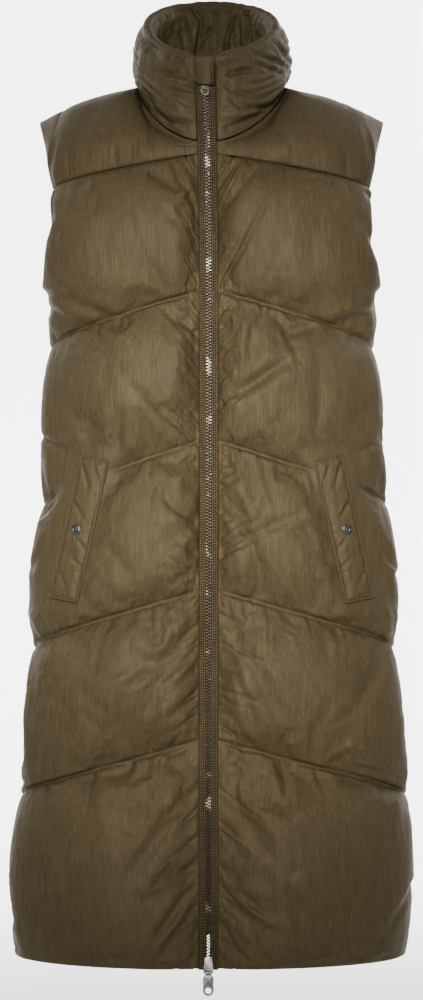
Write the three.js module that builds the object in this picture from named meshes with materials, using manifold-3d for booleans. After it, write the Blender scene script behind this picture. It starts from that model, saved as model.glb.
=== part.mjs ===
// A long quilted vest with a stand collar, filled out with no wearer.
// Millimetres. The origin is between the shoulders, level with the high points beside the neck.
// +x is the viewer's right, the front faces -y, and +z is up.
import * as THREE from 'three';
import * as BufferGeometryUtils from 'three/addons/utils/BufferGeometryUtils.js';
import Module from 'manifold-3d';

const wasm = await Module();
wasm.setup();

// Cloth and seams
const CLOTH = 3; // wall where a seam flattens the padding
const SEAM_GAP = 0.3; // between two pieces that are sewn together
const LAY_GAP = 0.4; // between a panel and what lies on it
const CROWN = 22; // how far the padding swells between two seams
const ZIP_REACH = 45; // how far from the zip the padding is full again
const SIDE_REACH = 62; // the same, from a side seam
const EDGE_REACH = 36; // the same, from an armhole edge
const HEM_SHARE = 0.5; // how full the padding still is at the hem
const SQUARENESS = 2.4; // 2 is an ellipse, more is squarer

// Half widths and depths of the body at seam level. frontEdge and backEdge are how far the
// panels' side edges stand from the side seam, which opens the armhole above the underarm.
const SECTIONS = [
  { z: -1010, left: 218, right: 215, front: 124, back: 120, frontEdge: 14, backEdge: -14 },
  { z: -930, left: 219, right: 219, front: 124, back: 120, frontEdge: 10, backEdge: -10 },
  { z: -828, left: 219, right: 224, front: 122, back: 119, frontEdge: 0, backEdge: 0 },
  { z: -740, left: 204, right: 208, front: 120, back: 117, frontEdge: 0, backEdge: 0 },
  { z: -658, left: 204, right: 208, front: 118, back: 113, frontEdge: 0, backEdge: 0 },
  { z: -580, left: 199, right: 203, front: 116, back: 109, frontEdge: 0, backEdge: 0 },
  { z: -493, left: 193, right: 201, front: 113, back: 105, frontEdge: 0, backEdge: 0 },
  { z: -400, left: 182, right: 183, front: 110, back: 102, frontEdge: 0, backEdge: 0 },
  { z: -312, left: 184, right: 185, front: 109, back: 101, frontEdge: 0, backEdge: 0 },
  { z: -250, left: 179, right: 179, front: 108, back: 101, frontEdge: 0, backEdge: 0 },
  { z: -238, left: 177, right: 177, front: 107, back: 101, frontEdge: 22, backEdge: 24 },
  { z: -215, left: 174, right: 174, front: 106, back: 100, frontEdge: 38, backEdge: 44 },
  { z: -170, left: 174, right: 174, front: 104, back: 98, frontEdge: 48, backEdge: 56 },
  { z: -128, left: 181, right: 181, front: 103, back: 94, frontEdge: 46, backEdge: 54 },
  { z: -76, left: 184, right: 185, front: 100, back: 87, frontEdge: 36, backEdge: 42 },
];

// Heights of the seams at the zip or the middle of the back, and at the side.
const SEAMS = [
  { name: 'yoke', middle: -89, side: -128 },
  { name: 'chest', middle: -245, side: -312 },
  { name: 'waist', middle: -414, side: -493 },
  { name: 'hip', middle: -583, side: -658 },
  { name: 'thigh', middle: -751, side: -828 },
  { name: 'hem', middle: -1007, side: -1004 },
];

// The neck seam and the collar's top rim, as a level, a tilt and a saddle round the neck.
const NECK = { half: 86, y: [-13.5, -81, -5.5], z: [-16, -44, -16] };
const RIM = { half: 76, y: [-22.5, -74, -2.5], z: [62, -42, -3] };
const COLLAR = { outward: 11, inward: 5, rimLift: 2.5, stations: 40 };
COLLAR.lift = 1; // between its lower edge and the yokes
COLLAR.atZip = 0.12; // how full it is beside the zip
const SHOULDER_TIP = { x: 201, y: 0, z: -40 };
const SHOULDER_SHARE = 0.5; // where the shoulder seam begins along a yoke's top edge
const SHOULDER_ARCH = 1; // how far the shoulder seam arches up
const YOKE_CROWN = 13;
const YOKE_ROWS = 6;
const CHAMBER_ROWS = [9, 6, 6, 6, 7];
const FRONT_COLUMNS = 12;
const BACK_COLUMNS = 11; // on each side of the middle

// The largest folds of the cloth: across and height in the front view, then the fold's lean
// from upright in degrees, its length, width and depth.
const FOLDS = [
  { across: -160, z: -285, lean: 52, length: 85, width: 26, depth: 9 },
  { across: -140, z: -255, lean: 60, length: 60, width: 22, depth: 6 },
  { across: 165, z: -275, lean: -50, length: 80, width: 24, depth: 9 },
  { across: 172, z: -215, lean: -18, length: 70, width: 20, depth: 6 },
  { across: -60, z: -665, lean: 70, length: 80, width: 26, depth: 5 },
  { across: 80, z: -330, lean: -72, length: 80, width: 24, depth: 5 },
  { across: -40, z: -935, lean: 12, length: 70, width: 26, depth: 7 },
  { across: 150, z: -900, lean: -62, length: 90, width: 28, depth: 6 },
];

// Zip
const ZIP = {
  slotHalf: 10.6, // the slot in the cloth that the zip fills
  tapeHalf: 10,
  tapeFace: 0.4, // how far behind the cloth's seam level the tape's face lies
  tapeBack: 2.4,
  chainHalf: 3.2,
  chainFront: 1.2, // how far the chain stands in front of the seam level
  chainBack: 2.4,
  bottom: -1005,
  top: 16,
  steps: 44,
};
const SLIDER = {
  wide: 12,
  narrow: 7.5,
  height: 19,
  shoulder: 4, // height of the rounded wide end
  plateThick: 1.4,
  clear: 0.5, // between its plates and the chain
  post: { width: 3, height: 4 },
  ear: { across: 4.6, width: 1.2, height: 3, reach: 1.4 },
  pin: 0.8,
  barrel: 1.9, // the pull tab's round end, which the pin runs through
};
const BOTTOM_SLIDER = { z: -1003 };
const TOP_SLIDER = { z: 3 };
const BOTTOM_TAB = { length: 26, width: 12, neck: 7, eye: 3.5, thick: 1.6 };
const TOP_TAB = { length: 20, width: 11, neck: 6, eye: 2.2, thick: 1.6 };
const ZIP_LINE = [
  { z: -1010, x: -3.6 },
  { z: -245, x: -3 },
  { z: -76, x: -5 },
  { z: 30, x: -7.5 },
];

// Pocket welts, by their corners in the front view, and their snaps.
const WELT = {
  topInner: 114,
  topOuter: 148,
  bottomInner: 150,
  bottomOuter: 184,
  top: -433,
  bottom: -595,
  slope: 6, // how much higher its outer corners are
  bed: 15, // how full the padding is under it
  margin: 24, // how far round it the padding keeps that level
  clear: 1.3, // between it and the front
  edge: 1.6, // thickness at its edge and its middle
  middle: 4.5,
  rows: 16,
  columns: 5,
};
const SNAP = { radius: 6.2, thick: 2.6, z: -514, clear: 1.1 };
const VENT_SNAP = { radius: 4.5, thick: 2.2, fromEdge: 12, clear: 1 };
const VENT_SNAP_HEIGHTS = [
  { name: 'upper', left: -860, right: -867 },
  { name: 'lower', left: -972, right: -971 },
];

// Chin guard, in the front view
const GUARD = { left: -31, right: 4, bottom: -13, top: 19, thick: 1.4, corner: 9 };
GUARD.overZip = 12; // how far it stands in front of the zip
GUARD.rise = 14; // how far across it reaches that

const SIDES = [
  { name: 'left', sign: -1 },
  { name: 'right', sign: 1 },
];
const CLOTH_COLOUR = 0x51462f;
const METAL_COLOUR = 0xb8b6b0;
const GUNMETAL_COLOUR = 0x4c4741;

// Smooth value of one column of a table at a height.
function lookUp(table, column, z) {
  const rows = table[0].z < table[1].z ? table : [...table].reverse();
  if (z <= rows[0].z) return rows[0][column];
  const last = rows.length - 1;
  if (z >= rows[last].z) return rows[last][column];
  let k = 0;
  while (z > rows[k + 1].z) k += 1;
  const rate = (i) => (rows[i + 1][column] - rows[i][column]) / (rows[i + 1].z - rows[i].z);
  const slope = (i) => {
    if (i === 0 || i === last || rate(i - 1) * rate(i) <= 0) return 0;
    return (2 * rate(i - 1) * rate(i)) / (rate(i - 1) + rate(i));
  };
  const span = rows[k + 1].z - rows[k].z;
  const t = (z - rows[k].z) / span;
  const rise = t * t * (3 - 2 * t);
  return (
    rows[k][column] * (1 - rise) +
    rows[k + 1][column] * rise +
    span * (slope(k) * t * (1 - t) * (1 - t) - slope(k + 1) * t * t * (1 - t))
  );
}

const FRONT_LENGTH = 265; // from the zip to the side, along the cloth
const BACK_LENGTH = 275;
const mix = (a, b, t) => a + (b - a) * t;
const clamp01 = (t) => Math.min(1, Math.max(0, t));
const smooth = (t) => clamp01(t) ** 2 * (3 - 2 * clamp01(t));
const zipX = (z) => lookUp(ZIP_LINE, 'x', z);

// A rounded quarter from straight ahead to the side: how far across and how far ahead, at an
// even share of its length.
const QUARTER = (() => {
  const steps = 200;
  const typicalWidth = 1.6;
  const points = [{ across: 0, ahead: 1, run: 0 }];
  for (let i = 1; i <= steps; i += 1) {
    const turn = ((i / steps) * Math.PI) / 2;
    const across = Math.sin(turn) ** (2 / SQUARENESS);
    const ahead = i === steps ? 0 : Math.cos(turn) ** (2 / SQUARENESS);
    const before = points[i - 1];
    const step = Math.hypot((across - before.across) * typicalWidth, ahead - before.ahead);
    points.push({ across, ahead, run: before.run + step });
  }
  return points;
})();

function quarter(share) {
  const run = clamp01(share) * QUARTER[QUARTER.length - 1].run;
  let k = 0;
  while (k < QUARTER.length - 2 && QUARTER[k + 1].run < run) k += 1;
  const t = (run - QUARTER[k].run) / (QUARTER[k + 1].run - QUARTER[k].run);
  return {
    across: mix(QUARTER[k].across, QUARTER[k + 1].across, t),
    ahead: mix(QUARTER[k].ahead, QUARTER[k + 1].ahead, t),
  };
}

// A point of the body at seam level. share runs from the zip, or the middle of the back, to the side.
function bodyPoint(face, sign, share, z) {
  const side = sign < 0 ? 'left' : 'right';
  const { across, ahead } = quarter(share);
  const half = sign * lookUp(SECTIONS, side, z);
  if (face === 'front') {
    const start = zipX(z) + sign * ZIP.slotHalf;
    const edge = lookUp(SECTIONS, 'frontEdge', z) + SEAM_GAP / 2;
    const depth = lookUp(SECTIONS, 'front', z);
    return new THREE.Vector3(mix(start, half, across), -mix(edge, depth, ahead), z);
  }
  const edge = lookUp(SECTIONS, 'backEdge', z) + SEAM_GAP / 2;
  const depth = lookUp(SECTIONS, 'back', z);
  return new THREE.Vector3(half * across, mix(edge, depth, ahead), z);
}

function bodyOutward(face, sign, share, z) {
  const step = 0.01;
  const low = bodyPoint(face, sign, Math.max(0, share - step), z);
  const high = bodyPoint(face, sign, Math.min(1, share + step), z);
  const along = high.sub(low);
  const out = new THREE.Vector3(along.y, -along.x, 0).normalize();
  out.multiplyScalar(face === 'front' ? sign : -sign);
  // Straight ahead at the middle and straight out at the side, where the pieces meet.
  const ahead = new THREE.Vector3(0, face === 'front' ? -1 : 1, 0);
  out.lerp(ahead, 1 - smooth(share / 0.06));
  return out.lerp(new THREE.Vector3(sign, 0, 0), smooth((share - 0.9) / 0.1)).normalize();
}

const seamHeight = (seam, share) => mix(SEAMS[seam].middle, SEAMS[seam].side, share);

// How full the padding is at a share of the way between two seams, and near an upright seam.
const swell = (t) => Math.max(0, Math.sin(Math.PI * clamp01(t))) ** 0.62;
const nearSeam = (distance, reach) => Math.sin((Math.PI / 2) * clamp01(distance / reach)) ** 0.75;

function foldDepth(face, x, z) {
  if (face !== 'front') return 0;
  let depth = 0;
  for (const fold of FOLDS) {
    const lean = THREE.MathUtils.degToRad(fold.lean);
    const dx = x - fold.across;
    const dz = z - fold.z;
    const along = (dx * Math.sin(lean) + dz * Math.cos(lean)) / fold.length;
    const beside = (dx * Math.cos(lean) - dz * Math.sin(lean)) / fold.width;
    depth += fold.depth * Math.exp(-4 * along * along - 4 * beside * beside);
  }
  return depth;
}

// How much of a place in the front view lies under or close beside a pocket welt.
function besideWelt(x, z) {
  const down = (z - WELT.top) / (WELT.bottom - WELT.top);
  const inner = mix(WELT.topInner, WELT.bottomInner, down);
  const outer = mix(WELT.topOuter, WELT.bottomOuter, down);
  const away = Math.max(inner - Math.abs(x), Math.abs(x) - outer, 0);
  const past = Math.max(WELT.bottom - z, z - WELT.top, 0);
  return smooth(1 - away / WELT.margin) * smooth(1 - past / WELT.margin);
}

// How far the outer cloth stands off the body at one place of a chamber.
function puff(face, sign, share, z, t, chamber) {
  const length = face === 'front' ? FRONT_LENGTH : BACK_LENGTH;
  const fromMiddle = face === 'front' ? nearSeam(share * length, ZIP_REACH) : 1;
  const besideArmhole = smooth((lookUp(SECTIONS, 'frontEdge', z) - 14) / 10) * (z > -300 ? 1 : 0);
  const fromSide = nearSeam((1 - share) * length, mix(SIDE_REACH, EDGE_REACH, besideArmhole));
  let level = swell(t);
  if (chamber === SEAMS.length - 2 && t > 0.5) level = mix(HEM_SHARE, 1, Math.sqrt(1 - (2 * t - 1) ** 2));
  const x = bodyPoint(face, sign, share, z).x;
  let height = CROWN * level - foldDepth(face, x, z) * level;
  if (face === 'front') height = mix(height, WELT.bed, besideWelt(x, z));
  return Math.max(0, height * fromMiddle * fromSide);
}

// Which chamber a height lies in at a share of the way round, and how far down it.
function chamberAt(share, z) {
  let chamber = 0;
  while (chamber < SEAMS.length - 2 && z < seamHeight(chamber + 1, share)) chamber += 1;
  const top = seamHeight(chamber, share);
  return { chamber, t: (z - top) / (seamHeight(chamber + 1, share) - top) };
}

// A point of a front's outer cloth, found from how far across it is in the front view.
function onFront(across, z) {
  const sign = across < 0 ? -1 : 1;
  let low = 0;
  let high = 1;
  const outer = (share) => {
    const { t, chamber } = chamberAt(share, z);
    const out = bodyOutward('front', sign, share, z);
    const stand = puff('front', sign, share, z, t, chamber);
    return bodyPoint('front', sign, share, z).addScaledVector(out, stand);
  };
  for (let i = 0; i < 30; i += 1) {
    const share = (low + high) / 2;
    if (Math.abs(outer(share).x) < Math.abs(across)) low = share;
    else high = share;
  }
  return { point: outer(low), out: bodyOutward('front', sign, low, z) };
}

// Shares for grid lines, closer together at both ends.
function spread(count, crowding = 0.8) {
  const eased = (t) => (1 - Math.cos(Math.PI * t)) / 2;
  return Array.from({ length: count + 1 }, (_, i) => mix(i / count, eased(i / count), crowding));
}

// A closed wall between two grids of points.
function wall(outer, inner) {
  const rows = outer.length;
  const columns = outer[0].length;
  const positions = [...outer.flat(), ...inner.flat()].flatMap((p) => [p.x, p.y, p.z]);
  const at = (layer, r, c) => (layer * rows + r) * columns + c;
  const faces = [];
  const quad = (a, b, c, d) => faces.push(a, b, c, a, c, d);
  for (let r = 0; r + 1 < rows; r += 1) {
    for (let c = 0; c + 1 < columns; c += 1) {
      quad(at(0, r, c), at(0, r, c + 1), at(0, r + 1, c + 1), at(0, r + 1, c));
      quad(at(1, r, c), at(1, r + 1, c), at(1, r + 1, c + 1), at(1, r, c + 1));
    }
  }
  for (let r = 0; r + 1 < rows; r += 1) {
    quad(at(0, r, 0), at(0, r + 1, 0), at(1, r + 1, 0), at(1, r, 0));
    const end = columns - 1;
    quad(at(0, r + 1, end), at(0, r, end), at(1, r, end), at(1, r + 1, end));
  }
  for (let c = 0; c + 1 < columns; c += 1) {
    quad(at(0, 0, c + 1), at(0, 0, c), at(1, 0, c), at(1, 0, c + 1));
    quad(at(0, rows - 1, c), at(0, rows - 1, c + 1), at(1, rows - 1, c + 1), at(1, rows - 1, c));
  }
  return facingOut(positions, faces);
}

// A closed body swept through loops of points, with flat ends.
function swept(loops) {
  const count = loops[0].length;
  const positions = loops.flat().flatMap((p) => [p.x, p.y, p.z]);
  const faces = [];
  for (let r = 0; r + 1 < loops.length; r += 1) {
    for (let i = 0; i < count; i += 1) {
      const next = (i + 1) % count;
      const [a, b] = [r * count + i, r * count + next];
      faces.push(a, b, b + count, a, b + count, a + count);
    }
  }
  const last = (loops.length - 1) * count;
  for (let i = 0; i + 1 < count - 1 - i; i += 1) {
    const [a, b, c, d] = [i, i + 1, count - 2 - i, count - 1 - i];
    faces.push(a, d, b, last + a, last + b, last + d);
    if (b !== c) faces.push(b, d, c, last + b, last + c, last + d);
  }
  return facingOut(positions, faces);
}

// The same body with its faces turned outwards.
function facingOut(positions, faces) {
  let volume = 0;
  const point = (i) => new THREE.Vector3().fromArray(positions, 3 * i);
  for (let i = 0; i < faces.length; i += 3) {
    volume += point(faces[i]).dot(point(faces[i + 1]).cross(point(faces[i + 2])));
  }
  if (volume < 0) faces.reverse();
  const geometry = new THREE.BufferGeometry();
  geometry.setAttribute('position', new THREE.Float32BufferAttribute(positions, 3));
  geometry.setIndex(faces);
  return geometry;
}

const group = new THREE.Group();
function addPiece(name, geometry, colour, roughness = 0.5, metalness = 0) {
  geometry.computeVertexNormals();
  const material = new THREE.MeshStandardMaterial({ color: colour, roughness, metalness });
  const mesh = new THREE.Mesh(geometry, material);
  mesh.name = name;
  group.add(mesh);
  return mesh;
}

// Quilted panels from the yoke seam to the hem
function quiltedPanel(face, stations) {
  const outer = [];
  const inner = [];
  for (let chamber = 0; chamber + 1 < SEAMS.length; chamber += 1) {
    spread(CHAMBER_ROWS[chamber], chamber === 0 ? 0.4 : 0.8).forEach((t, row) => {
      if (row === 0 && chamber > 0) return;
      const outerRow = [];
      const innerRow = [];
      for (const { sign, share } of stations) {
        let z = mix(seamHeight(chamber, share), seamHeight(chamber + 1, share), t);
        if (chamber === 0 && row === 0) z -= SEAM_GAP / 2;
        const base = bodyPoint(face, sign, share, z);
        const out = bodyOutward(face, sign, share, z);
        outerRow.push(base.clone().addScaledVector(out, puff(face, sign, share, z, t, chamber)));
        innerRow.push(base.clone().addScaledVector(out, -CLOTH));
      }
      outer.push(outerRow);
      inner.push(innerRow);
    });
  }
  return wall(outer, inner);
}

// Yokes, which roll over the shoulders to the neck
const round = ([level, tilt, saddle], s) => level + tilt * Math.cos(s) + saddle * Math.cos(2 * s);

// A point of a ring round the neck: s is 0 at the zip and a half turn at the middle of the back.
function ringPoint(ring, s) {
  const z = round(ring.z, s);
  const x = ring.half * Math.sin(s) + zipX(z) * Math.max(0, Math.cos(s)) ** 2;
  return new THREE.Vector3(x, round(ring.y, s), z);
}

const ringStart = (ring) => Math.asin(ZIP.slotHalf / ring.half);
const RING_START = ringStart(NECK);

function yokeTop(face, sign, share) {
  const startTurn = face === 'front' ? RING_START : 0;
  const turn = mix(startTurn, Math.PI / 2, clamp01(share / SHOULDER_SHARE));
  const neck = ringPoint(NECK, sign * (face === 'front' ? turn : Math.PI - turn));
  const tip = new THREE.Vector3(sign * SHOULDER_TIP.x, SHOULDER_TIP.y, SHOULDER_TIP.z);
  const along = clamp01((share - SHOULDER_SHARE) / (1 - SHOULDER_SHARE));
  const point = neck.lerp(tip, along);
  point.z += SHOULDER_ARCH * Math.sin(Math.PI * along);
  point.y += (face === 'front' ? -1 : 1) * (SEAM_GAP / 2) * smooth(along * 8);
  return point;
}

function yokePoint(face, sign, share, w) {
  const seam = seamHeight(0, share) + SEAM_GAP / 2;
  const start = bodyPoint(face, sign, share, seam);
  const end = yokeTop(face, sign, share);
  const length = start.distanceTo(end);
  const below = bodyPoint(face, sign, share, seam - 4);
  const upBody = start.clone().sub(below).normalize();
  const backwards = face === 'front' ? 1 : -1;
  const atNeck = new THREE.Vector3(0, 0.25 * backwards, 1).normalize();
  const atShoulder = new THREE.Vector3(0, backwards, 0.15).normalize();
  const arrive = atNeck.lerp(atShoulder, smooth((share - 0.22) / 0.25)).normalize();
  const w2 = w * w;
  const w3 = w2 * w;
  return new THREE.Vector3()
    .addScaledVector(start, 2 * w3 - 3 * w2 + 1)
    .addScaledVector(end, 3 * w2 - 2 * w3)
    .addScaledVector(upBody, (w3 - 2 * w2 + w) * length)
    .addScaledVector(arrive, (w3 - w2) * length);
}

function yokeOutward(face, sign, share, w) {
  const step = 0.02;
  const at = (s, t) => yokePoint(face, sign, clamp01(s), clamp01(t));
  const across = at(share + step, w).sub(at(share - step, w));
  const up = at(share, w + step).sub(at(share, w - step));
  const out = across.cross(up).normalize().multiplyScalar(face === 'front' ? sign : -sign);
  // Square to each seam, so that the walls on its two sides meet face to face.
  const onShoulder = smooth((share - 0.4) / 0.15);
  out.y *= 1 - onShoulder * smooth((w - 0.5) / 0.5);
  return out.lerp(bodyOutward(face, sign, share, seamHeight(0, share)), 1 - smooth(w / 0.35)).normalize();
}

function yokePuff(face, sign, share, w) {
  const fullHeight = 90;
  const fromMiddle = face === 'front' ? nearSeam(share * FRONT_LENGTH, ZIP_REACH) : 1;
  const fromEdge = nearSeam((1 - share) * FRONT_LENGTH, EDGE_REACH);
  const height = yokePoint(face, sign, share, 0).distanceTo(yokePoint(face, sign, share, 1));
  const besideNeck = mix(smooth((1 - w) / 0.4), 1, smooth((share - SHOULDER_SHARE) / 0.2));
  const level = Math.min(1, height / fullHeight) * Math.sin(Math.PI * w) ** 0.8 * besideNeck;
  return YOKE_CROWN * level * fromMiddle * fromEdge;
}

function yokePanel(face, stations) {
  const outer = [];
  const inner = [];
  for (const w of spread(YOKE_ROWS)) {
    const outerRow = [];
    const innerRow = [];
    for (const { sign, share } of stations) {
      const base = yokePoint(face, sign, share, w);
      const out = yokeOutward(face, sign, share, w);
      outerRow.push(base.clone().addScaledVector(out, yokePuff(face, sign, share, w)));
      innerRow.push(base.clone().addScaledVector(out, -CLOTH));
    }
    outer.push(outerRow);
    inner.push(innerRow);
  }
  return wall(outer, inner);
}

const halfStations = (sign, count) => spread(count).map((share) => ({ sign, share }));
function wholeStations(count) {
  const right = halfStations(1, count);
  const left = halfStations(-1, count).slice(1).reverse();
  return [...left, ...right];
}

for (const { name, sign } of SIDES) {
  addPiece(`front_${name}`, quiltedPanel('front', halfStations(sign, FRONT_COLUMNS)), CLOTH_COLOUR);
  addPiece(`front_yoke_${name}`, yokePanel('front', halfStations(sign, FRONT_COLUMNS)), CLOTH_COLOUR);
}
addPiece('back', quiltedPanel('back', wholeStations(BACK_COLUMNS)), CLOTH_COLOUR);
addPiece('back_yoke', yokePanel('back', wholeStations(BACK_COLUMNS)), CLOTH_COLOUR);

// Stand collar: a padded band round the neck, open at the zip
function collarPoint(s, t, offset) {
  // The rim is tighter than the neck, so the slot for the zip takes more of its turn.
  const turn = Math.abs(s) > Math.PI ? 2 * Math.PI - Math.abs(s) : Math.abs(s);
  const late = (ringStart(RIM) - RING_START) * (1 - smooth((turn - RING_START) / (Math.PI / 2)));
  const rimTurn = Math.abs(s) > Math.PI ? s - Math.sign(s) * late : s + Math.sign(s) * late;
  const point = ringPoint(NECK, s).lerp(ringPoint(RIM, rimTurn), t);
  const out = new THREE.Vector3(Math.sin(s), -Math.cos(s), 0);
  return point.addScaledVector(out, offset);
}

// The collar's section: share of its height, and how full the padding is outside and inside.
const COLLAR_SECTION = [
  { t: 0, outer: 0, inner: 0 },
  { t: 0.08, outer: 0.12, inner: 0.1 },
  { t: 0.24, outer: 0.8, inner: 0.5 },
  { t: 0.5, outer: 1, inner: 1 },
  { t: 0.75, outer: 1, inner: 1 },
  { t: 0.92, outer: 0.82, inner: 0.9 },
  { t: 1, outer: 0.4, inner: 0.5 },
];

// The collar is flat at the zip and full again a little way round.
function collarFullness(s) {
  const turn = Math.abs(s) > Math.PI ? 2 * Math.PI - Math.abs(s) : Math.abs(s);
  const reach = 0.7 * ZIP_REACH;
  return mix(COLLAR.atZip, 1, nearSeam((turn - RING_START) * NECK.half, reach));
}

function collarOuter(s, t) {
  let k = 0;
  while (k < COLLAR_SECTION.length - 2 && COLLAR_SECTION[k + 1].t < t) k += 1;
  const [a, b] = [COLLAR_SECTION[k], COLLAR_SECTION[k + 1]];
  const outer = mix(a.outer, b.outer, (t - a.t) / (b.t - a.t));
  return collarPoint(s, t, outer * COLLAR.outward * collarFullness(s));
}

function collarLoop(s, fullness) {
  const at = (t, offset) => {
    const point = collarPoint(s, t, offset);
    return point.setZ(point.z + COLLAR.lift);
  };
  const outside = COLLAR_SECTION.map(({ t, outer }) => at(t, outer * COLLAR.outward * fullness));
  const inside = COLLAR_SECTION.map(({ t, inner }) => at(t, -CLOTH - inner * COLLAR.inward * fullness));
  const top = at(1, -CLOTH / 2);
  top.z += COLLAR.rimLift * fullness;
  return [...outside, top, ...inside.reverse()];
}

function collarGeometry() {
  const loops = [];
  for (let i = 0; i <= COLLAR.stations; i += 1) {
    const s = mix(RING_START, 2 * Math.PI - RING_START, i / COLLAR.stations);
    loops.push(collarLoop(s, collarFullness(s)));
  }
  return swept(loops);
}
addPiece('collar', collarGeometry(), CLOTH_COLOUR);

// How far forward the zip lies, from the hem to the top of the collar.
function zipDepth(z) {
  if (z < ringPoint(NECK, 0).z) return lookUp(SECTIONS, 'front', z);
  const low = ringPoint(NECK, 0);
  const high = ringPoint(RIM, 0);
  return -mix(low.y, high.y, clamp01((z - low.z) / (high.z - low.z)));
}

// A strip that runs up the zip between two distances across and two depths behind its face.
function zipStrip(from, to, face, back, bottom, top) {
  const loops = [];
  for (let i = 0; i <= ZIP.steps; i += 1) {
    const z = mix(bottom, top, i / ZIP.steps);
    const y = -zipDepth(z);
    const corner = (across, depth) => new THREE.Vector3(zipX(z) + across, y + depth, z);
    loops.push([corner(from, face), corner(to, face), corner(to, back), corner(from, back)]);
  }
  return swept(loops);
}

for (const { name, sign } of SIDES) {
  const [inner, outer] = [sign * (ZIP.chainHalf + SEAM_GAP), sign * ZIP.tapeHalf];
  const tape = zipStrip(inner, outer, ZIP.tapeFace, ZIP.tapeBack, ZIP.bottom, ZIP.top);
  addPiece(`zip_tape_${name}`, tape, CLOTH_COLOUR, 0.8);
}
const CHAIN_BOTTOM = BOTTOM_SLIDER.z + SLIDER.height / 2 + SLIDER.clear;
const CHAIN_TOP = TOP_SLIDER.z - SLIDER.height / 2 - SLIDER.clear;
const { chainHalf, chainFront, chainBack } = ZIP;
const chain = zipStrip(-chainHalf, chainHalf, -chainFront, chainBack, CHAIN_BOTTOM, CHAIN_TOP);
addPiece('zip_chain', chain, METAL_COLOUR, 0.35, 0.9);

// Zip sliders and their pull tabs
function toSolid(geometry) {
  const plain = geometry.index ? geometry.clone() : geometry;
  for (const name of Object.keys(plain.attributes)) {
    if (name !== 'position') plain.deleteAttribute(name);
  }
  const merged = BufferGeometryUtils.mergeVertices(plain, 1e-4);
  const vertProperties = merged.attributes.position.array;
  const triVerts = merged.index.array;
  return new wasm.Manifold(new wasm.Mesh({ numProp: 3, vertProperties, triVerts }));
}

function toGeometry(solid) {
  const mesh = solid.getMesh();
  const geometry = new THREE.BufferGeometry();
  geometry.setAttribute('position', new THREE.Float32BufferAttribute(mesh.vertProperties, 3));
  geometry.setIndex([...mesh.triVerts]);
  return geometry;
}

// A plate drawn in the front view, from its face to its back.
function plate(shape, face, back) {
  const options = { depth: back - face, bevelEnabled: false, curveSegments: 10 };
  const geometry = new THREE.ExtrudeGeometry(shape, options);
  return toSolid(geometry.rotateX(Math.PI / 2).translate(0, back, 0));
}

function box(x, y, z, width, depth, height) {
  return toSolid(new THREE.BoxGeometry(width, depth, height).translate(x, y, z));
}

function pinAlongX(radius, length, y, z) {
  const geometry = new THREE.CylinderGeometry(radius, radius, length, 16);
  return toSolid(geometry.rotateZ(Math.PI / 2).translate(0, y, z));
}

// The slider's wide end is up or down. Its two plates straddle the chain, and its pull tab's
// pin lies across two ears in front of the lower end.
function sliderSolid(wideUp) {
  const { wide, narrow, height, shoulder, plateThick, post, ear } = SLIDER;
  const up = wideUp ? 1 : -1;
  const [narrowEnd, wideEnd] = [(-up * height) / 2, (up * height) / 2];
  const corner = wideEnd - up * shoulder;
  const outline = new THREE.Shape();
  outline.moveTo(-narrow / 2, narrowEnd);
  outline.lineTo(narrow / 2, narrowEnd);
  outline.lineTo(wide / 2, corner);
  outline.quadraticCurveTo(wide / 2, wideEnd, 0, wideEnd);
  outline.quadraticCurveTo(-wide / 2, wideEnd, -wide / 2, corner);
  outline.closePath();
  const { front, rear } = sliderFaces();
  const postZ = wideEnd - up * (post.height / 2 + 1);
  const { y, z } = pinPlace();
  const earFace = y - ear.reach;
  const earBack = front - plateThick / 2;
  let solid = plate(outline, front - plateThick, front)
    .add(plate(outline, rear, rear + plateThick))
    .add(box(0, (front + rear) / 2, postZ, post.width, rear - front + 1, post.height))
    .add(pinAlongX(SLIDER.pin, 2 * ear.across, y, z));
  for (const side of [-1, 1]) {
    const middle = (earFace + earBack) / 2;
    solid = solid.add(box(side * ear.across, middle, z, ear.width, earBack - earFace, ear.height));
  }
  return solid;
}

function sliderFaces() {
  return { front: -ZIP.chainFront - SLIDER.clear, rear: ZIP.chainBack + SLIDER.clear };
}

function pinPlace() {
  const y = sliderFaces().front - SLIDER.plateThick - SLIDER.barrel - SLIDER.clear;
  return { y, z: -SLIDER.height / 2 + SLIDER.barrel };
}

function placed(name, solid, z, colour) {
  const mesh = addPiece(name, toGeometry(solid), colour, 0.35, 0.9);
  mesh.position.set(zipX(z), -zipDepth(z), z);
  return mesh;
}

// A pull tab: a barrel round the pin, a plate below it and a round end with an eye.
function tabSolid({ length, width, neck, eye, thick }) {
  const { y, z } = pinPlace();
  const low = z - length + width / 2;
  const neckEnd = z - SLIDER.barrel - 1;
  const plateTop = Math.max(low, neckEnd - 4);
  const outline = new THREE.Shape();
  outline.moveTo(-neck / 2, z);
  outline.lineTo(-neck / 2, neckEnd);
  outline.quadraticCurveTo(-width / 2, neckEnd - 1, -width / 2, plateTop);
  outline.lineTo(-width / 2, low);
  outline.absarc(0, low, width / 2, Math.PI, 2 * Math.PI);
  outline.lineTo(width / 2, plateTop);
  outline.quadraticCurveTo(width / 2, neckEnd - 1, neck / 2, neckEnd);
  outline.lineTo(neck / 2, z);
  outline.closePath();
  const hole = new THREE.Path();
  hole.absarc(0, low, eye, 0, 2 * Math.PI, true);
  outline.holes.push(hole);
  const flat = plate(outline, y - thick / 2, y + thick / 2).add(pinAlongX(SLIDER.barrel, neck, y, z));
  return flat.subtract(pinAlongX(SLIDER.pin + SEAM_GAP, neck + 2, y, z));
}

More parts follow.
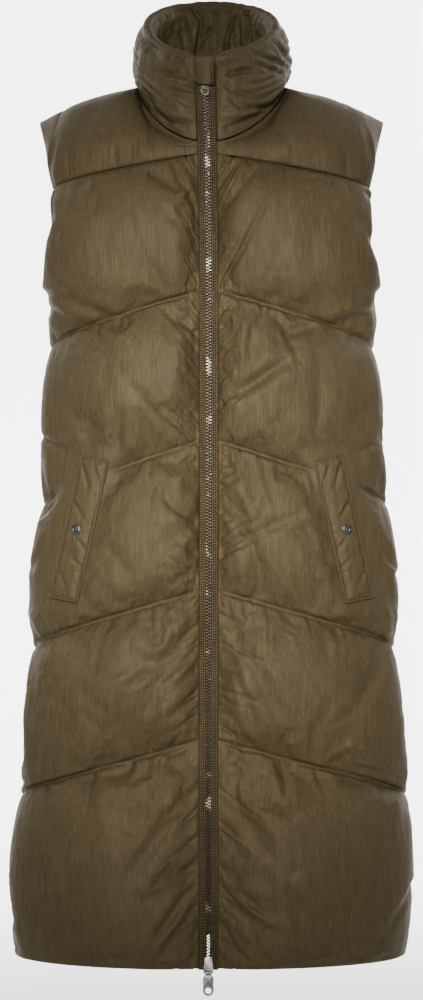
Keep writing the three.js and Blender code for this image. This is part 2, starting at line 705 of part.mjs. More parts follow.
placed('bottom_slider', sliderSolid(false), BOTTOM_SLIDER.z, METAL_COLOUR);
placed('bottom_pull_tab', tabSolid(BOTTOM_TAB), BOTTOM_SLIDER.z, METAL_COLOUR);
placed('top_slider', sliderSolid(true), TOP_SLIDER.z, GUNMETAL_COLOUR);
placed('top_pull_tab', tabSolid(TOP_TAB), TOP_SLIDER.z, GUNMETAL_COLOUR);

// Chin guard: a folded flap that bridges the top of the zip
function chinGuard() {
  const outer = [];
  const inner = [];
  for (let r = 0; r <= 6; r += 1) {
    const z = mix(GUARD.bottom, GUARD.top, r / 6);
    const rounded = GUARD.corner * (1 - Math.sin((Math.PI / 2) * clamp01((z - GUARD.bottom) / GUARD.corner)));
    const outerRow = [];
    const innerRow = [];
    for (let c = 0; c <= 10; c += 1) {
      const x = mix(GUARD.left + rounded, GUARD.right, c / 10);
      const overZip = GUARD.overZip * smooth((x - GUARD.left) / GUARD.rise);
      const y = Math.min(collarFrontY(x, z) - LAY_GAP, -zipDepth(z) - overZip);
      innerRow.push(new THREE.Vector3(x, y, z));
      outerRow.push(new THREE.Vector3(x, y - GUARD.thick, z));
    }
    outer.push(outerRow);
    inner.push(innerRow);
  }
  return wall(outer, inner);
}

// The outermost face of the collar at a place in the front view.
function collarFrontY(x, z) {
  const sign = x < zipX(z) ? -1 : 1;
  let best = -zipDepth(z);
  for (let s = RING_START; s < 1.2; s += 0.02) {
    for (let t = 0; t <= 1; t += 0.02) {
      const p = collarOuter(sign * s, t);
      if (Math.abs(p.x - x) < 1.6 && Math.abs(p.z - z) < 2.4) best = Math.min(best, p.y);
    }
  }
  return best;
}
addPiece('chin_guard', chinGuard(), CLOTH_COLOUR, 0.6);

// Slanted pocket welts, made from the fronts' points moved out
function weltGeometry(sign) {
  const outer = [];
  const inner = [];
  for (let r = 0; r <= WELT.rows; r += 1) {
    const down = r / WELT.rows;
    const outerRow = [];
    const innerRow = [];
    for (let c = 0; c <= WELT.columns; c += 1) {
      const across = c / WELT.columns;
      const top = mix(WELT.topInner, WELT.topOuter, across);
      const x = mix(top, mix(WELT.bottomInner, WELT.bottomOuter, across), down);
      const z = mix(WELT.top, WELT.bottom, down) + WELT.slope * (across - 0.5);
      const { point, out } = onFront(sign * x, z);
      const full = nearSeam(Math.min(across, 1 - across), 0.3) * nearSeam(Math.min(down, 1 - down), 0.08);
      innerRow.push(point.clone().addScaledVector(out, WELT.clear));
      outerRow.push(point.clone().addScaledVector(out, WELT.clear + mix(WELT.edge, WELT.middle, full)));
    }
    outer.push(outerRow);
    inner.push(innerRow);
  }
  return wall(outer, inner);
}

// A snap cap: a domed disc with a ring round its face, turned to face away from the cloth.
function snap(name, { radius, thick }, point, out) {
  const profile = [
    [0, 0],
    [radius - 0.3, 0],
    [radius, 0.4 * thick],
    [radius - 0.6, 0.85 * thick],
    [radius - 1.6, thick],
    [radius - 2.4, 0.75 * thick],
    [0, 0.95 * thick],
  ].map(([x, y]) => new THREE.Vector2(x, y));
  const mesh = addPiece(name, new THREE.LatheGeometry(profile, 18), GUNMETAL_COLOUR, 0.4, 0.9);
  mesh.quaternion.setFromUnitVectors(new THREE.Vector3(0, 1, 0), out);
  mesh.position.copy(point);
}

for (const { name, sign } of SIDES) {
  addPiece(`pocket_welt_${name}`, weltGeometry(sign), CLOTH_COLOUR);
  const x = (WELT.topInner + WELT.topOuter + WELT.bottomInner + WELT.bottomOuter) / 4;
  const { point, out } = onFront(sign * x, SNAP.z);
  snap(`pocket_snap_${name}`, SNAP, point.addScaledVector(out, WELT.clear + WELT.middle + SNAP.clear), out);
  for (const height of VENT_SNAP_HEIGHTS) {
    const z = height[name];
    const share = 1 - VENT_SNAP.fromEdge / FRONT_LENGTH;
    const { t, chamber } = chamberAt(share, z);
    const ventOut = bodyOutward('front', sign, share, z);
    const stand = puff('front', sign, share, z, t, chamber) + VENT_SNAP.clear;
    const place = bodyPoint('front', sign, share, z).addScaledVector(ventOut, stand);
    snap(`vent_snap_${name}_${height.name}`, VENT_SNAP, place, ventOut);
  }
}

export default group;
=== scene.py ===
# Looks of a long quilted puffer vest with a stand collar, filled out with no wearer.
# Metres. The front faces -Y, +X is the viewer's right and +Z is up.
import math
from bisect import bisect_left, bisect_right
from collections import namedtuple

import bmesh
import bpy
from mathutils import Matrix, Vector, noise
from mathutils.bvhtree import BVHTree


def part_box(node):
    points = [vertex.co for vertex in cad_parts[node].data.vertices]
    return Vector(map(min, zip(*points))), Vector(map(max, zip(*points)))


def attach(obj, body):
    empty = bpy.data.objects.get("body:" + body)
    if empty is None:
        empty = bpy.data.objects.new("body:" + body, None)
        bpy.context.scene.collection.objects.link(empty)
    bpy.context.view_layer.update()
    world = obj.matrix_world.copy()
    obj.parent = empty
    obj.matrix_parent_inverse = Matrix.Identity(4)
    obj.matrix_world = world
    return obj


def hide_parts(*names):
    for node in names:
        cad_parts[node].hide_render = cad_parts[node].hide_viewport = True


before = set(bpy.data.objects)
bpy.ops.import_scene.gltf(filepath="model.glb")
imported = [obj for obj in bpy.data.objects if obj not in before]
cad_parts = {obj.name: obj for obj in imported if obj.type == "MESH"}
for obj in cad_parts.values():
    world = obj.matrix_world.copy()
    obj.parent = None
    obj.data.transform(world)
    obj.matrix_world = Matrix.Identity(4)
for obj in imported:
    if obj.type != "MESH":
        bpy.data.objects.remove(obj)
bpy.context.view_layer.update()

SIDES = (("left", -1), ("right", 1))
VEST = "vest"

# Camera, level with the middle of the vest and straight ahead of it
CAMERA_PLACE = Vector((0, -3.2, -0.481))
PHOTO_WIDTH, PHOTO_HEIGHT = 423, 1000
FOCAL_PIXELS = 2741
SENSOR = 36

# Cloth and seams
CLOTH = 0.003  # wall where a seam flattens the padding
SEAM_GAP = 0.0003  # between two pieces that are sewn together
SAME_PLACE = 0.00001  # corners closer together than this are one
CROWN = 0.022  # how far the padding swells between two seams
ZIP_REACH = 0.034  # how far from the zip the padding is full again
LOW_ZIP_REACH = 0.056  # the same, above the hem
SIDE_REACH = 0.070  # the same, from a side seam
EDGE_REACH = 0.036  # the same, from an armhole edge
YOKE_EDGE_REACH = 0.060  # the same, from the armhole edge of a yoke
SIDE_SAG = 1.4  # how much lower the padding hangs in its chambers towards the sides
HEM_SHARE = 0.5  # how full the padding still is at the hem
UNDERARM = -0.3  # the armholes' edges are all above this height
EDGE_OPENS, EDGE_OPENING = 0.014, 0.010  # how open a side is where EDGE_REACH starts, and how fast
CALM_STAND = 0.008  # how far cloth stands off where its broad folds are at their deepest
SQUARENESS = 2.4  # 2 is an ellipse, more is squarer
FRONT_LENGTH = 0.265  # from the zip to the side, along the cloth
BACK_LENGTH = 0.275

# Half widths and depths of the body at seam level. The two edges are how far the panels' side
# edges stand from the side seam, which opens the armhole above the underarm.
Section = namedtuple("Section", "z left right front back front_edge back_edge")
SECTIONS = (
    Section(-1.010, 0.218, 0.215, 0.124, 0.120, 0.014, -0.014),
    Section(-0.930, 0.219, 0.219, 0.124, 0.120, 0.010, -0.010),
    Section(-0.828, 0.219, 0.224, 0.122, 0.119, 0, 0),
    Section(-0.740, 0.204, 0.208, 0.120, 0.117, 0, 0),
    Section(-0.658, 0.204, 0.208, 0.118, 0.113, 0, 0),
    Section(-0.580, 0.199, 0.203, 0.116, 0.109, 0, 0),
    Section(-0.493, 0.193, 0.201, 0.113, 0.105, 0, 0),
    Section(-0.400, 0.182, 0.183, 0.110, 0.102, 0, 0),
    Section(-0.312, 0.184, 0.185, 0.109, 0.101, 0, 0),
    Section(-0.250, 0.179, 0.179, 0.108, 0.101, 0, 0),
    Section(-0.238, 0.177, 0.177, 0.107, 0.101, 0.022, 0.024),
    Section(-0.215, 0.174, 0.174, 0.106, 0.100, 0.038, 0.044),
    Section(-0.170, 0.174, 0.174, 0.104, 0.098, 0.048, 0.056),
    Section(-0.128, 0.181, 0.181, 0.103, 0.094, 0.046, 0.054),
    Section(-0.076, 0.184, 0.185, 0.100, 0.087, 0.036, 0.042),
)

# Heights of the quilting seams at the zip or the middle of the back, and at the side
Seam = namedtuple("Seam", "name middle side")
SEAMS = (
    Seam("yoke", -0.089, -0.128),
    Seam("chest", -0.245, -0.312),
    Seam("waist", -0.414, -0.493),
    Seam("hip", -0.583, -0.658),
    Seam("thigh", -0.751, -0.828),
    Seam("hem", -1.007, -1.004),
)

# The neck seam and the collar's top rim, as a level, a tilt and a saddle round the neck
Ring = namedtuple("Ring", "half y z")
NECK = Ring(0.086, (-0.0135, -0.081, -0.0055), (-0.016, -0.044, -0.016))
RIM = Ring(0.076, (-0.0225, -0.074, -0.0025), (0.062, -0.042, -0.003))
COLLAR_OUTWARD, COLLAR_INWARD = 0.011, 0.011
COLLAR_RIM_LIFT, COLLAR_LIFT = 0.0025, 0.001
COLLAR_AT_ZIP = 0.12
CollarStep = namedtuple("CollarStep", "z outer inner")  # z is the share of the collar's height
COLLAR_SECTION = (
    CollarStep(0, 0, 0),
    CollarStep(0.08, 0.12, 0.1),
    CollarStep(0.24, 0.8, 0.5),
    CollarStep(0.5, 1, 1),
    CollarStep(0.75, 1, 1),
    CollarStep(0.92, 0.82, 0.9),
    CollarStep(1, 0.4, 0.5),
)
SHOULDER_TIP = Vector((0.201, 0, -0.040))
SHOULDER_SHARE = 0.5
SHOULDER_ARCH = 0.001
YOKE_CROWN = 0.013

# Zip
ZipLine = namedtuple("ZipLine", "z x")
ZIP_LINE = (
    ZipLine(-1.010, -0.0036),
    ZipLine(-0.245, -0.003),
    ZipLine(-0.076, -0.005),
    ZipLine(0.030, -0.0075),
)
SLOT_HALF = 0.0106
TAPE_HALF, TAPE_FACE, TAPE_THICK = 0.0109, 0.0004, 0.0009
ZIP_BOTTOM, ZIP_TOP = -1.0085, 0.016
TOOTH_PITCH = 0.0036  # between teeth of one side

# Pocket welts in the front view, left and right alike
Welt = namedtuple("Welt", "top_inner top_outer bottom_inner bottom_outer top bottom slope")
WELT = Welt(0.114, 0.148, 0.150, 0.184, -0.433, -0.595, 0.006)
WELT_BED, WELT_MARGIN, WELT_CLEAR = 0.015, 0.024, 0.0013
WELT_EDGE, WELT_MIDDLE = 0.0016, 0.0045

# Chin guard in the front view
Guard = namedtuple("Guard", "left right bottom top thick tip over_zip rise")
GUARD = Guard(-0.031, 0.004, -0.013, 0.019, 0.0024, 0.009, 0.012, 0.026)
LAY_GAP = 0.0004

# Rows of cloth in each chamber and columns across each panel, before it is subdivided. It is
# filled with half as many rows.
ClothGrid = namedtuple("ClothGrid", "columns rows filling_columns")
PANEL_GRIDS = {
    "front": ClothGrid(62, (58, 60, 60, 60, 80), 46),
    "back": ClothGrid(84, (42, 44, 44, 44, 58), 80),
}
INSIDE_SHARE = 4  # how many times coarser the plain inside is
PANEL_HEIGHT = 0.92
YOKE_ROWS = 30
YOKE_COLUMNS = {"front": 84, "back": 120}


# Plain sums
def mix(a, b, t):
    return a + (b - a) * t


def clamp(t):
    return min(1.0, max(0.0, t))


def smooth(t):
    t = clamp(t)
    return t * t * (3 - 2 * t)


def smooth_curve(rows, column):
    """A smooth function of height through one column of a table, with no overshoot."""
    rows = sorted(rows, key=lambda row: row.z)
    heights = [row.z for row in rows]
    values = [getattr(row, column) for row in rows]
    rates = [
        (values[i + 1] - values[i]) / (heights[i + 1] - heights[i]) for i in range(len(rows) - 1)
    ]
    slopes = [0.0]
    for low, high in zip(rates, rates[1:]):
        slopes.append(2 * low * high / (low + high) if low * high > 0 else 0.0)
    slopes.append(0.0)

    def value_at(z):
        if z <= heights[0]:
            return values[0]
        if z >= heights[-1]:
            return values[-1]
        k = bisect_right(heights, z) - 1
        span = heights[k + 1] - heights[k]
        t = (z - heights[k]) / span
        bend = slopes[k] * t * (1 - t) ** 2 - slopes[k + 1] * t * t * (1 - t)
        return mix(values[k], values[k + 1], smooth(t)) + span * bend

    return value_at


BODY = {column: smooth_curve(SECTIONS, column) for column in Section._fields[1:]}
COLLAR = {column: smooth_curve(COLLAR_SECTION, column) for column in CollarStep._fields[1:]}
zip_x = smooth_curve(ZIP_LINE, "x")


# Form of the body
QuarterStep = namedtuple("QuarterStep", "across ahead run")
QUARTER_STEPS = 200
QUARTER_WIDTH = 1.6  # how many times wider than deep a quarter of the body is


def quarter_table():
    """A rounded quarter from straight ahead to the side, by the length along it."""
    table = [QuarterStep(0.0, 1.0, 0.0)]
    for i in range(1, QUARTER_STEPS + 1):
        turn = i / QUARTER_STEPS * math.pi / 2
        across = math.sin(turn) ** (2 / SQUARENESS)
        ahead = 0.0 if i == QUARTER_STEPS else math.cos(turn) ** (2 / SQUARENESS)
        before = table[-1]
        step = math.hypot((across - before.across) * QUARTER_WIDTH, ahead - before.ahead)
        table.append(QuarterStep(across, ahead, before.run + step))
    return table


QUARTER = quarter_table()
QUARTER_RUNS = [step.run for step in QUARTER]


def quarter(share):
    """How far across and how far ahead, at an even share of the quarter's length."""
    run = clamp(share) * QUARTER_RUNS[-1]
    number = max(1, bisect_left(QUARTER_RUNS, run))
    low, high = QUARTER[number - 1], QUARTER[number]
    t = (run - low.run) / (high.run - low.run)
    return mix(low.across, high.across, t), mix(low.ahead, high.ahead, t)


def body_point(face, sign, share, z):
    """A point at seam level. The share runs from the zip or the back's middle to the side."""
    across, ahead = quarter(share)
    half = sign * BODY["left" if sign < 0 else "right"](z)
    edge = BODY[face + "_edge"](z) + SEAM_GAP / 2
    depth = BODY[face](z)
    if face == "front":
        start = zip_x(z) + sign * SLOT_HALF
        return Vector((mix(start, half, across), -mix(edge, depth, ahead), z))
    return Vector((half * across, mix(edge, depth, ahead), z))


def body_outward(face, sign, share, z):
    """The level direction out of the body: straight ahead at the middle, sideways at the side."""
    step, middle, side, side_width = 0.01, 0.06, 0.9, 0.1
    low = body_point(face, sign, max(0, share - step), z)
    high = body_point(face, sign, min(1, share + step), z)
    along = high - low
    out = Vector((along.y, -along.x, 0)).normalized() * (sign if face == "front" else -sign)
    ahead = Vector((0, -1 if face == "front" else 1, 0))
    out = out.lerp(ahead, 1 - smooth(share / middle))
    return out.lerp(Vector((sign, 0, 0)), smooth((share - side) / side_width)).normalized()


def seam_height(seam, share):
    return mix(SEAMS[seam].middle, SEAMS[seam].side, share)


def swell(t):
    """A full round profile between two seams: nothing at each and 1 half way."""
    return max(0.0, math.sin(math.pi * clamp(t))) ** 0.54


def near_seam(distance, reach):
    """A round rise from nothing at a seam to 1 at the reach."""
    return math.sin(math.pi / 2 * clamp(distance / reach)) ** 0.75


def beside_welt(x, z):
    """How much of a place in the front view lies under or close beside a pocket welt."""
    down = (z - WELT.top) / (WELT.bottom - WELT.top)
    inner = mix(WELT.top_inner, WELT.bottom_inner, down)
    outer = mix(WELT.top_outer, WELT.bottom_outer, down)
    away = max(inner - abs(x), abs(x) - outer, 0)
    past = max(WELT.bottom - z, z - WELT.top, 0)
    return smooth(1 - away / WELT_MARGIN) * smooth(1 - past / WELT_MARGIN)


# Main creases, listed one by one: from one point to another in the front view, how wide and how
# deep. A depth below nothing is a ridge.
Crease = namedtuple("Crease", "x1 z1 x2 z2 width depth")
CREASE_ENDS = 0.35  # the share of its depth that a crease still has at its two ends
CREASE_FADE = 2.5  # how many widths away from it nothing of it is left


def creases(*rows):
    """Creases from rows of x1, z1, x2, z2, width and depth in millimetres."""
    return [Crease(*(value / 1000 for value in row)) for row in rows]


# Those of the fronts
FRONT_CREASES = creases(
    (-172, -264, -120, -305, 12, 8),
    (-160, -243, -100, -286, 10, 6),
    (158, -160, 180, -215, 10, 6),
    (170, -264, 120, -300, 11, 8),
    (165, -268, 85, -292, 8, 4),
    (-62, -543, -13, -500, 12, 6),
    (12, -470, 62, -582, 14, 7),
    (-18, -610, -90, -755, 15, 6),
    (-20, -640, -130, -700, 12, 5),
    (12, -606, 84, -740, 15, 7),
    (20, -655, 60, -760, 10, 4),
    (212, -922, 176, -975, 6, 3),
    (-20, -800, -100, -925, 16, 6),
    (-24, -918, -57, -965, 8, 6),
    (-17, -917, -62, -987, 7, -5),
    (-14, -932, -19, -980, 4, 4.5),
    (-19, -980, -28, -1016, 4, 4.5),
    (14, -800, 75, -900, 15, 6),
    (10, -925, 24, -940, 4, 4),
    (15, -920, 70, -954, 8, -4.5),
    (29, -918, 62, -946, 5, 5),
    (12, -955, 26, -984, 5, 5),
    (26, -984, 39, -997, 5, 5),
    (60, -900, 130, -985, 14, 5),
    (-125, -385, -133, -425, 9, 5),
    (-97, -380, -104, -440, 9, 5),
    (-69, -385, -72, -430, 9, 4),
    (75, -330, 30, -360, 12, 5),
    (-122, -130, -126, -158, 4, 3),
    (-105, -126, -107, -146, 3.5, 2.5),
    (-142, -138, -143, -152, 3.5, 2),
    (-176, -408, -148, -430, 4.5, 4),
    (174, -412, 148, -432, 4.5, 3.5),
    (-190, -560, -172, -520, 5.5, 4.5),
    (-186, -500, -162, -470, 5, 4),
    (192, -555, 174, -515, 5.5, 4.5),
    (196, -610, 184, -570, 5, 4),
)

# Those of the front yokes
YOKE_CREASES = creases(
    (-85, -78, -87, -107, 3.5, 3),
    (-108, -86, -110, -112, 3.5, 2.5),
    (-69, -60, -67, -96, 3.5, 2.5),
    (79, -62, 80, -82, 3.5, 2),
    (-172, -70, -178, -100, 4.5, 3),
    (170, -62, 176, -96, 4.5, 3),
)

# Those of the collar, on its front and on the inside of its back as seen through the neck
COLLAR_CREASES = creases(
    (-52, 4, -24, -4, 4, 4.8),
    (-45, -18, -14, -26, 4, 4.2),
    (-69, -14, -60, -40, 4.5, 4.2),
    (-62, -36, -46, -58, 4.5, 5),
    (-50, -52, -14, -58, 4.5, 4.2),
    (-30, -42, -12, -36, 3.5, 3.6),
    (-72, 44, -54, 22, 4.5, 4.2),
    (-77, 36, -80, 6, 5, 4.2),
    (14, 0, 44, 7, 4.5, 5.6),
    (10, -4, 18, -15, 3.5, 4.2),
    (13, -15, 42, -25, 4.5, 4.8),
    (18, -26, 32, -39, 4, 4.5),
    (32, -39, 72, -30, 4, 5),
    (20, -58, 58, -41, 4.5, 4.8),
    (44, 26, 76, 17, 4, 5),
    (66, 45, 80, 22, 4.5, 4.2),
    (40, 14, 70, 8, 3.5, 3.9),
)
INSIDE_CREASES = creases(
    (-27, 100, -13, 85, 4.2, 6),
    (-13, 85, -20, 45, 4.2, 7),
    (0, 77, -19, 53, 4, 6),
    (36, 96, 22, 68, 4.2, 8),
    (22, 68, 21, 40, 4.2, 8),
    (45, 99, 53, 83, 4.2, 6),
    (53, 83, 52, 55, 4.2, 6),
)


def crease_depth(table, x, z):
    """How deep the creases are at a place. The cloth stands up a little on both sides of each."""
    depth = 0.0
    for crease in table:
        run = Vector((crease.x2 - crease.x1, crease.z2 - crease.z1))
        place = Vector((x - crease.x1, z - crease.z1))
        along = clamp(place.dot(run) / run.length_squared)
        beside = (place - run * along).length / crease.width
        if beside < CREASE_FADE:
            taper = mix(CREASE_ENDS, 1, math.sin(math.pi * along))
            depth += crease.depth * taper * (1 - beside * beside) * math.exp(-beside * beside)
    return depth


def puff(face, sign, share, z, t, chamber):
    """How far the outer cloth stands off the body at one place of a chamber."""
    length = FRONT_LENGTH if face == "front" else BACK_LENGTH
    lowest = chamber == len(SEAMS) - 2
    zip_reach = LOW_ZIP_REACH if lowest else ZIP_REACH
    from_middle = near_seam(share * length, zip_reach) if face == "front" else 1
    opening = (BODY["front_edge"](z) - EDGE_OPENS) / EDGE_OPENING if z > UNDERARM else 0
    beside_armhole = smooth(opening)
    from_side = near_seam((1 - share) * length, mix(SIDE_REACH, EDGE_REACH, beside_armhole))
    level = swell(mix(t, clamp(t) ** SIDE_SAG, share * share))
    if lowest and t > 0.5:
        level = mix(HEM_SHARE, 1, math.sqrt(1 - (2 * t - 1) ** 2))
    height = CROWN * level
    if face == "front":
        x = body_point(face, sign, share, z).x
        height -= crease_depth(FRONT_CREASES, x, z) * level
        height = mix(height, WELT_BED, beside_welt(x, z))
    return max(0.0, height * from_middle * from_side)


def chamber_at(share, z):
    chamber = 0
    while chamber < len(SEAMS) - 2 and z < seam_height(chamber + 1, share):
        chamber += 1
    top = seam_height(chamber, share)
    return chamber, (z - top) / (seam_height(chamber + 1, share) - top)


# Puckers, which gathered cloth makes beside a seam: how far apart they are, how far they
# reach from it and how deep they are. No two are alike.
Pucker = namedtuple("Pucker", "apart reach depth")
LONG_PUCKERS = Pucker(0.013, 0.050, 0.0026)
SHORT_PUCKERS = Pucker(0.0066, 0.026, 0.0021)
LOOSE_PUCKERS = Pucker(0.036, 0.070, 0.0040)
PUCKER_WANDER = 1.3  # how far a pucker strays from its place, in steps from one to the next
PUCKER_TAPER = 0.45  # how much narrower it is at its far end
PUCKER_START = 0.004  # how far from the seam it is at its full depth
FOLD_WIDTH, FOLD_LENGTH, FOLD_DEPTH = 0.060, 0.110, 0.0028


def pucker(kind, along, away, seed):
    """How far the cloth is drawn in at a place along a seam and away from it."""
    away = max(away, 0.0)
    if away > 2 * kind.reach:
        return 0.0
    drift = noise.noise(Vector((along / (3 * kind.apart), away / (2 * kind.reach), seed)))
    place = along / kind.apart + PUCKER_WANDER * drift
    number = round(place)
    long, deep = (noise.cell(Vector((number, seed + part, 0.5))) for part in (0.5, 1.5))
    reach = kind.reach * (0.35 + 1.6 * long * long)
    if away > reach:
        return 0.0
    width = 1 - PUCKER_TAPER * away / reach
    valley = max(0.0, 1 - 2 * abs(place - number) / width) ** 1.4
    fade = smooth(away / PUCKER_START) * (1 - smooth(away / reach))
    return kind.depth * (0.35 + 0.9 * deep) * valley * fade


def gathers(along, away, seed):
    """Long and short puckers together."""
    return pucker(LONG_PUCKERS, along, away, seed) + pucker(SHORT_PUCKERS, along, away, seed + 3)


def loose_folds(across, down, seed):
    """Loose slanting waves all over a filled chamber, in and out."""
    low = noise.noise(Vector((across / FOLD_WIDTH, down / FOLD_LENGTH, seed)))
    return FOLD_DEPTH * (0.5 - abs(low) * 2)


# Objects, materials and small helpers for meshes
def new_piece(name, mesh, material, body=VEST, smooth_faces=True):
    """A finished piece: its object at the origin, its material, and the body it rides on."""
    data = bpy.data.meshes.new(name)
    mesh.to_mesh(data)
    mesh.free()
    for polygon in data.polygons:
        polygon.use_smooth = smooth_faces
    data.materials.append(material)
    piece = bpy.data.objects.new(name, data)
    bpy.context.scene.collection.objects.link(piece)
    if body:
        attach(piece, body)
    return piece


def evenly(across):
    return across


def cloth_grid(columns, rows, place, length, height, spacing=evenly):
    """A grid of cloth set by place(across, down), with a UV map in metres of cloth."""
    mesh = bmesh.new()
    cloth = mesh.loops.layers.uv.new("cloth")
    shares = [mesh.verts.layers.float.new(name) for name in ("across", "down")]
    bmesh.ops.create_grid(mesh, x_segments=columns, y_segments=rows, size=0.5)
    for face in mesh.faces:
        for loop in face.loops:
            at = loop.vert.co
            loop[cloth].uv = (spacing(at.x + 0.5) * length, (at.y + 0.5) * height)
    for vert in mesh.verts:
        across, down = spacing(vert.co.x + 0.5), 0.5 - vert.co.y
        vert[shares[0]], vert[shares[1]] = across, down
        vert.co = place(across, down)
    return mesh


def finer_cloth(mesh):
    """The same cloth with each face split in four and smoothed."""
    data = bpy.data.meshes.new("cloth to smooth")
    mesh.to_mesh(data)
    cloth_object = bpy.data.objects.new("cloth to smooth", data)
    bpy.context.scene.collection.objects.link(cloth_object)
    modifier = cloth_object.modifiers.new("finer", "SUBSURF")
    modifier.levels = modifier.render_levels = 1
    modifier.boundary_smooth = "PRESERVE_CORNERS"
    finer = cloth_object.evaluated_get(bpy.context.evaluated_depsgraph_get())
    mesh.clear()
    mesh.from_mesh(finer.to_mesh())
    bpy.data.objects.remove(cloth_object)
    bpy.data.meshes.remove(data)


def draw_in(mesh, depth_at):
    """Moves each point of the cloth in by depth_at(across, down), square to its surface."""
    across, down = (mesh.verts.layers.float[name] for name in ("across", "down"))
    mesh.normal_update()
    steps = [vert.normal * depth_at(vert[across], vert[down]) for vert in mesh.verts]
    for vert, step in zip(mesh.verts, steps):
        vert.co -= step


def close_wall(mesh, columns, rows, inner_place):
    """Adds a plain inside behind an outer grid and joins the two round their edges."""
    inside = bmesh.ops.create_grid(mesh, x_segments=columns, y_segments=rows, size=0.5)
    faces = {face for vert in inside["verts"] for face in vert.link_faces}
    for vert in inside["verts"]:
        vert.co = inner_place(vert.co.x + 0.5, 0.5 - vert.co.y)
    bmesh.ops.reverse_faces(mesh, faces=list(faces))
    rims = [edge for edge in mesh.edges if edge.is_boundary]
    bmesh.ops.bridge_loops(mesh, edges=rims)
    bmesh.ops.recalc_face_normals(mesh, faces=mesh.faces)
    return mesh


def bevel(mesh, edges, **settings):
    bmesh.ops.bevel(mesh, geom=edges, profile=0.5, affect="EDGES", material=-1, **settings)


# Materials
def surface_group(name, inputs):
    """A shared node group that gives a surface its colour, roughness and height."""
    group = bpy.data.node_groups.new(name, "ShaderNodeTree")
    for label, value in inputs.items():
        kind = "NodeSocketColor" if isinstance(value, tuple) else "NodeSocketFloat"
        group.interface.new_socket(label, in_out="INPUT", socket_type=kind).default_value = value
    for label, kind in (("Color", "Color"), ("Roughness", "Float"), ("Height", "Float")):
        group.interface.new_socket(label, in_out="OUTPUT", socket_type="NodeSocket" + kind)
    return group, group.nodes.new("NodeGroupInput"), group.nodes.new("NodeGroupOutput")


def add_node(tree, kind, settings=None, **inputs):
    """A node with its settings and plain input values."""
    node = tree.nodes.new(kind)
    for key, value in (settings or {}).items():
        setattr(node, key, value)
    for key, value in inputs.items():
        node.inputs[key.replace("_", " ")].default_value = value
    return node


def join_up(tree, source, target):
    tree.links.new(source, target)


def noise_on(tree, coordinates, scale, stretch, detail=3.0, roughness=0.5):
    """Noise whose pattern is stretched along an axis."""
    mapping = add_node(tree, "ShaderNodeMapping", Scale=stretch)
    join_up(tree, coordinates, mapping.inputs["Vector"])
    pattern = add_node(tree, "ShaderNodeTexNoise", Scale=scale, Detail=detail, Roughness=roughness)
    join_up(tree, mapping.outputs["Vector"], pattern.inputs["Vector"])
    return pattern.outputs["Fac"]


def spread_to(tree, value, low, high, to_low=0.0, to_high=1.0):
    """A value that runs from to_low to to_high where the given one runs from low to high."""
    limits = {"From_Min": low, "From_Max": high, "To_Min": to_low, "To_Max": to_high}
    node = add_node(tree, "ShaderNodeMapRange", **limits)
    join_up(tree, value, node.inputs["Value"])
    return node.outputs["Result"]


def blended(tree, share, low, high):
    """A colour between two others."""
    node = add_node(tree, "ShaderNodeMix", {"data_type": "RGBA"})
    for number, source in ((0, share), (6, low), (7, high)):
        join_up(tree, source, node.inputs[number])
    return node.outputs[2]


def flecked(tree, colour, tone):
    """A colour multiplied by a tone."""
    node = add_node(tree, "ShaderNodeMix", {"data_type": "RGBA", "blend_type": "MULTIPLY"})
    node.inputs[0].default_value = 1.0
    join_up(tree, colour, node.inputs[6])
    join_up(tree, tone, node.inputs[7])
    return node.outputs[2]


def scaled_sum(tree, value, scale, added):
    """A value times a plain number, plus another value."""
    node = add_node(tree, "ShaderNodeMath", {"operation": "MULTIPLY_ADD"})
    join_up(tree, value, node.inputs[0])
    node.inputs[1].default_value = scale
    join_up(tree, added, node.inputs[2])
    return node.outputs[0]


def nylon_group():
    """Satin nylon: colour that shifts a little, upright crinkle streaks and a fine weave."""
    light, dark = (0.13, 0.10, 0.05, 1), (0.07, 0.055, 0.03, 1)
    inputs = {"Light": light, "Dark": dark, "Crinkle": 1.0}
    tree, given, result = surface_group("satin nylon surface", inputs)
    place = tree.nodes.new("ShaderNodeTexCoord").outputs["Object"]
    streaks = noise_on(tree, place, 380, (1, 1, 0.10), 4, 0.65)
    ripples = noise_on(tree, place, 120, (1, 1, 0.22), 3, 0.5)
    weave = noise_on(tree, place, 1500, (1, 1, 0.6), 1)
    clouds = noise_on(tree, place, 9, (1, 1, 0.7), 3)

    shade = spread_to(tree, clouds, 0.35, 0.65)
    tint = blended(tree, shade, given.outputs["Dark"], given.outputs["Light"])
    colour = flecked(tree, tint, spread_to(tree, streaks, 0.28, 0.72, 0.70, 1.28))
    join_up(tree, colour, result.inputs["Color"])
    join_up(tree, spread_to(tree, ripples, 0.3, 0.7, 0.56, 0.70), result.inputs["Roughness"])

    relief = scaled_sum(tree, ripples, 1.3, scaled_sum(tree, weave, 0.12, streaks))
    height = add_node(tree, "ShaderNodeMath", {"operation": "MULTIPLY"})
    join_up(tree, relief, height.inputs[0])
    join_up(tree, given.outputs["Crinkle"], height.inputs[1])
    join_up(tree, height.outputs[0], result.inputs["Height"])
    return tree


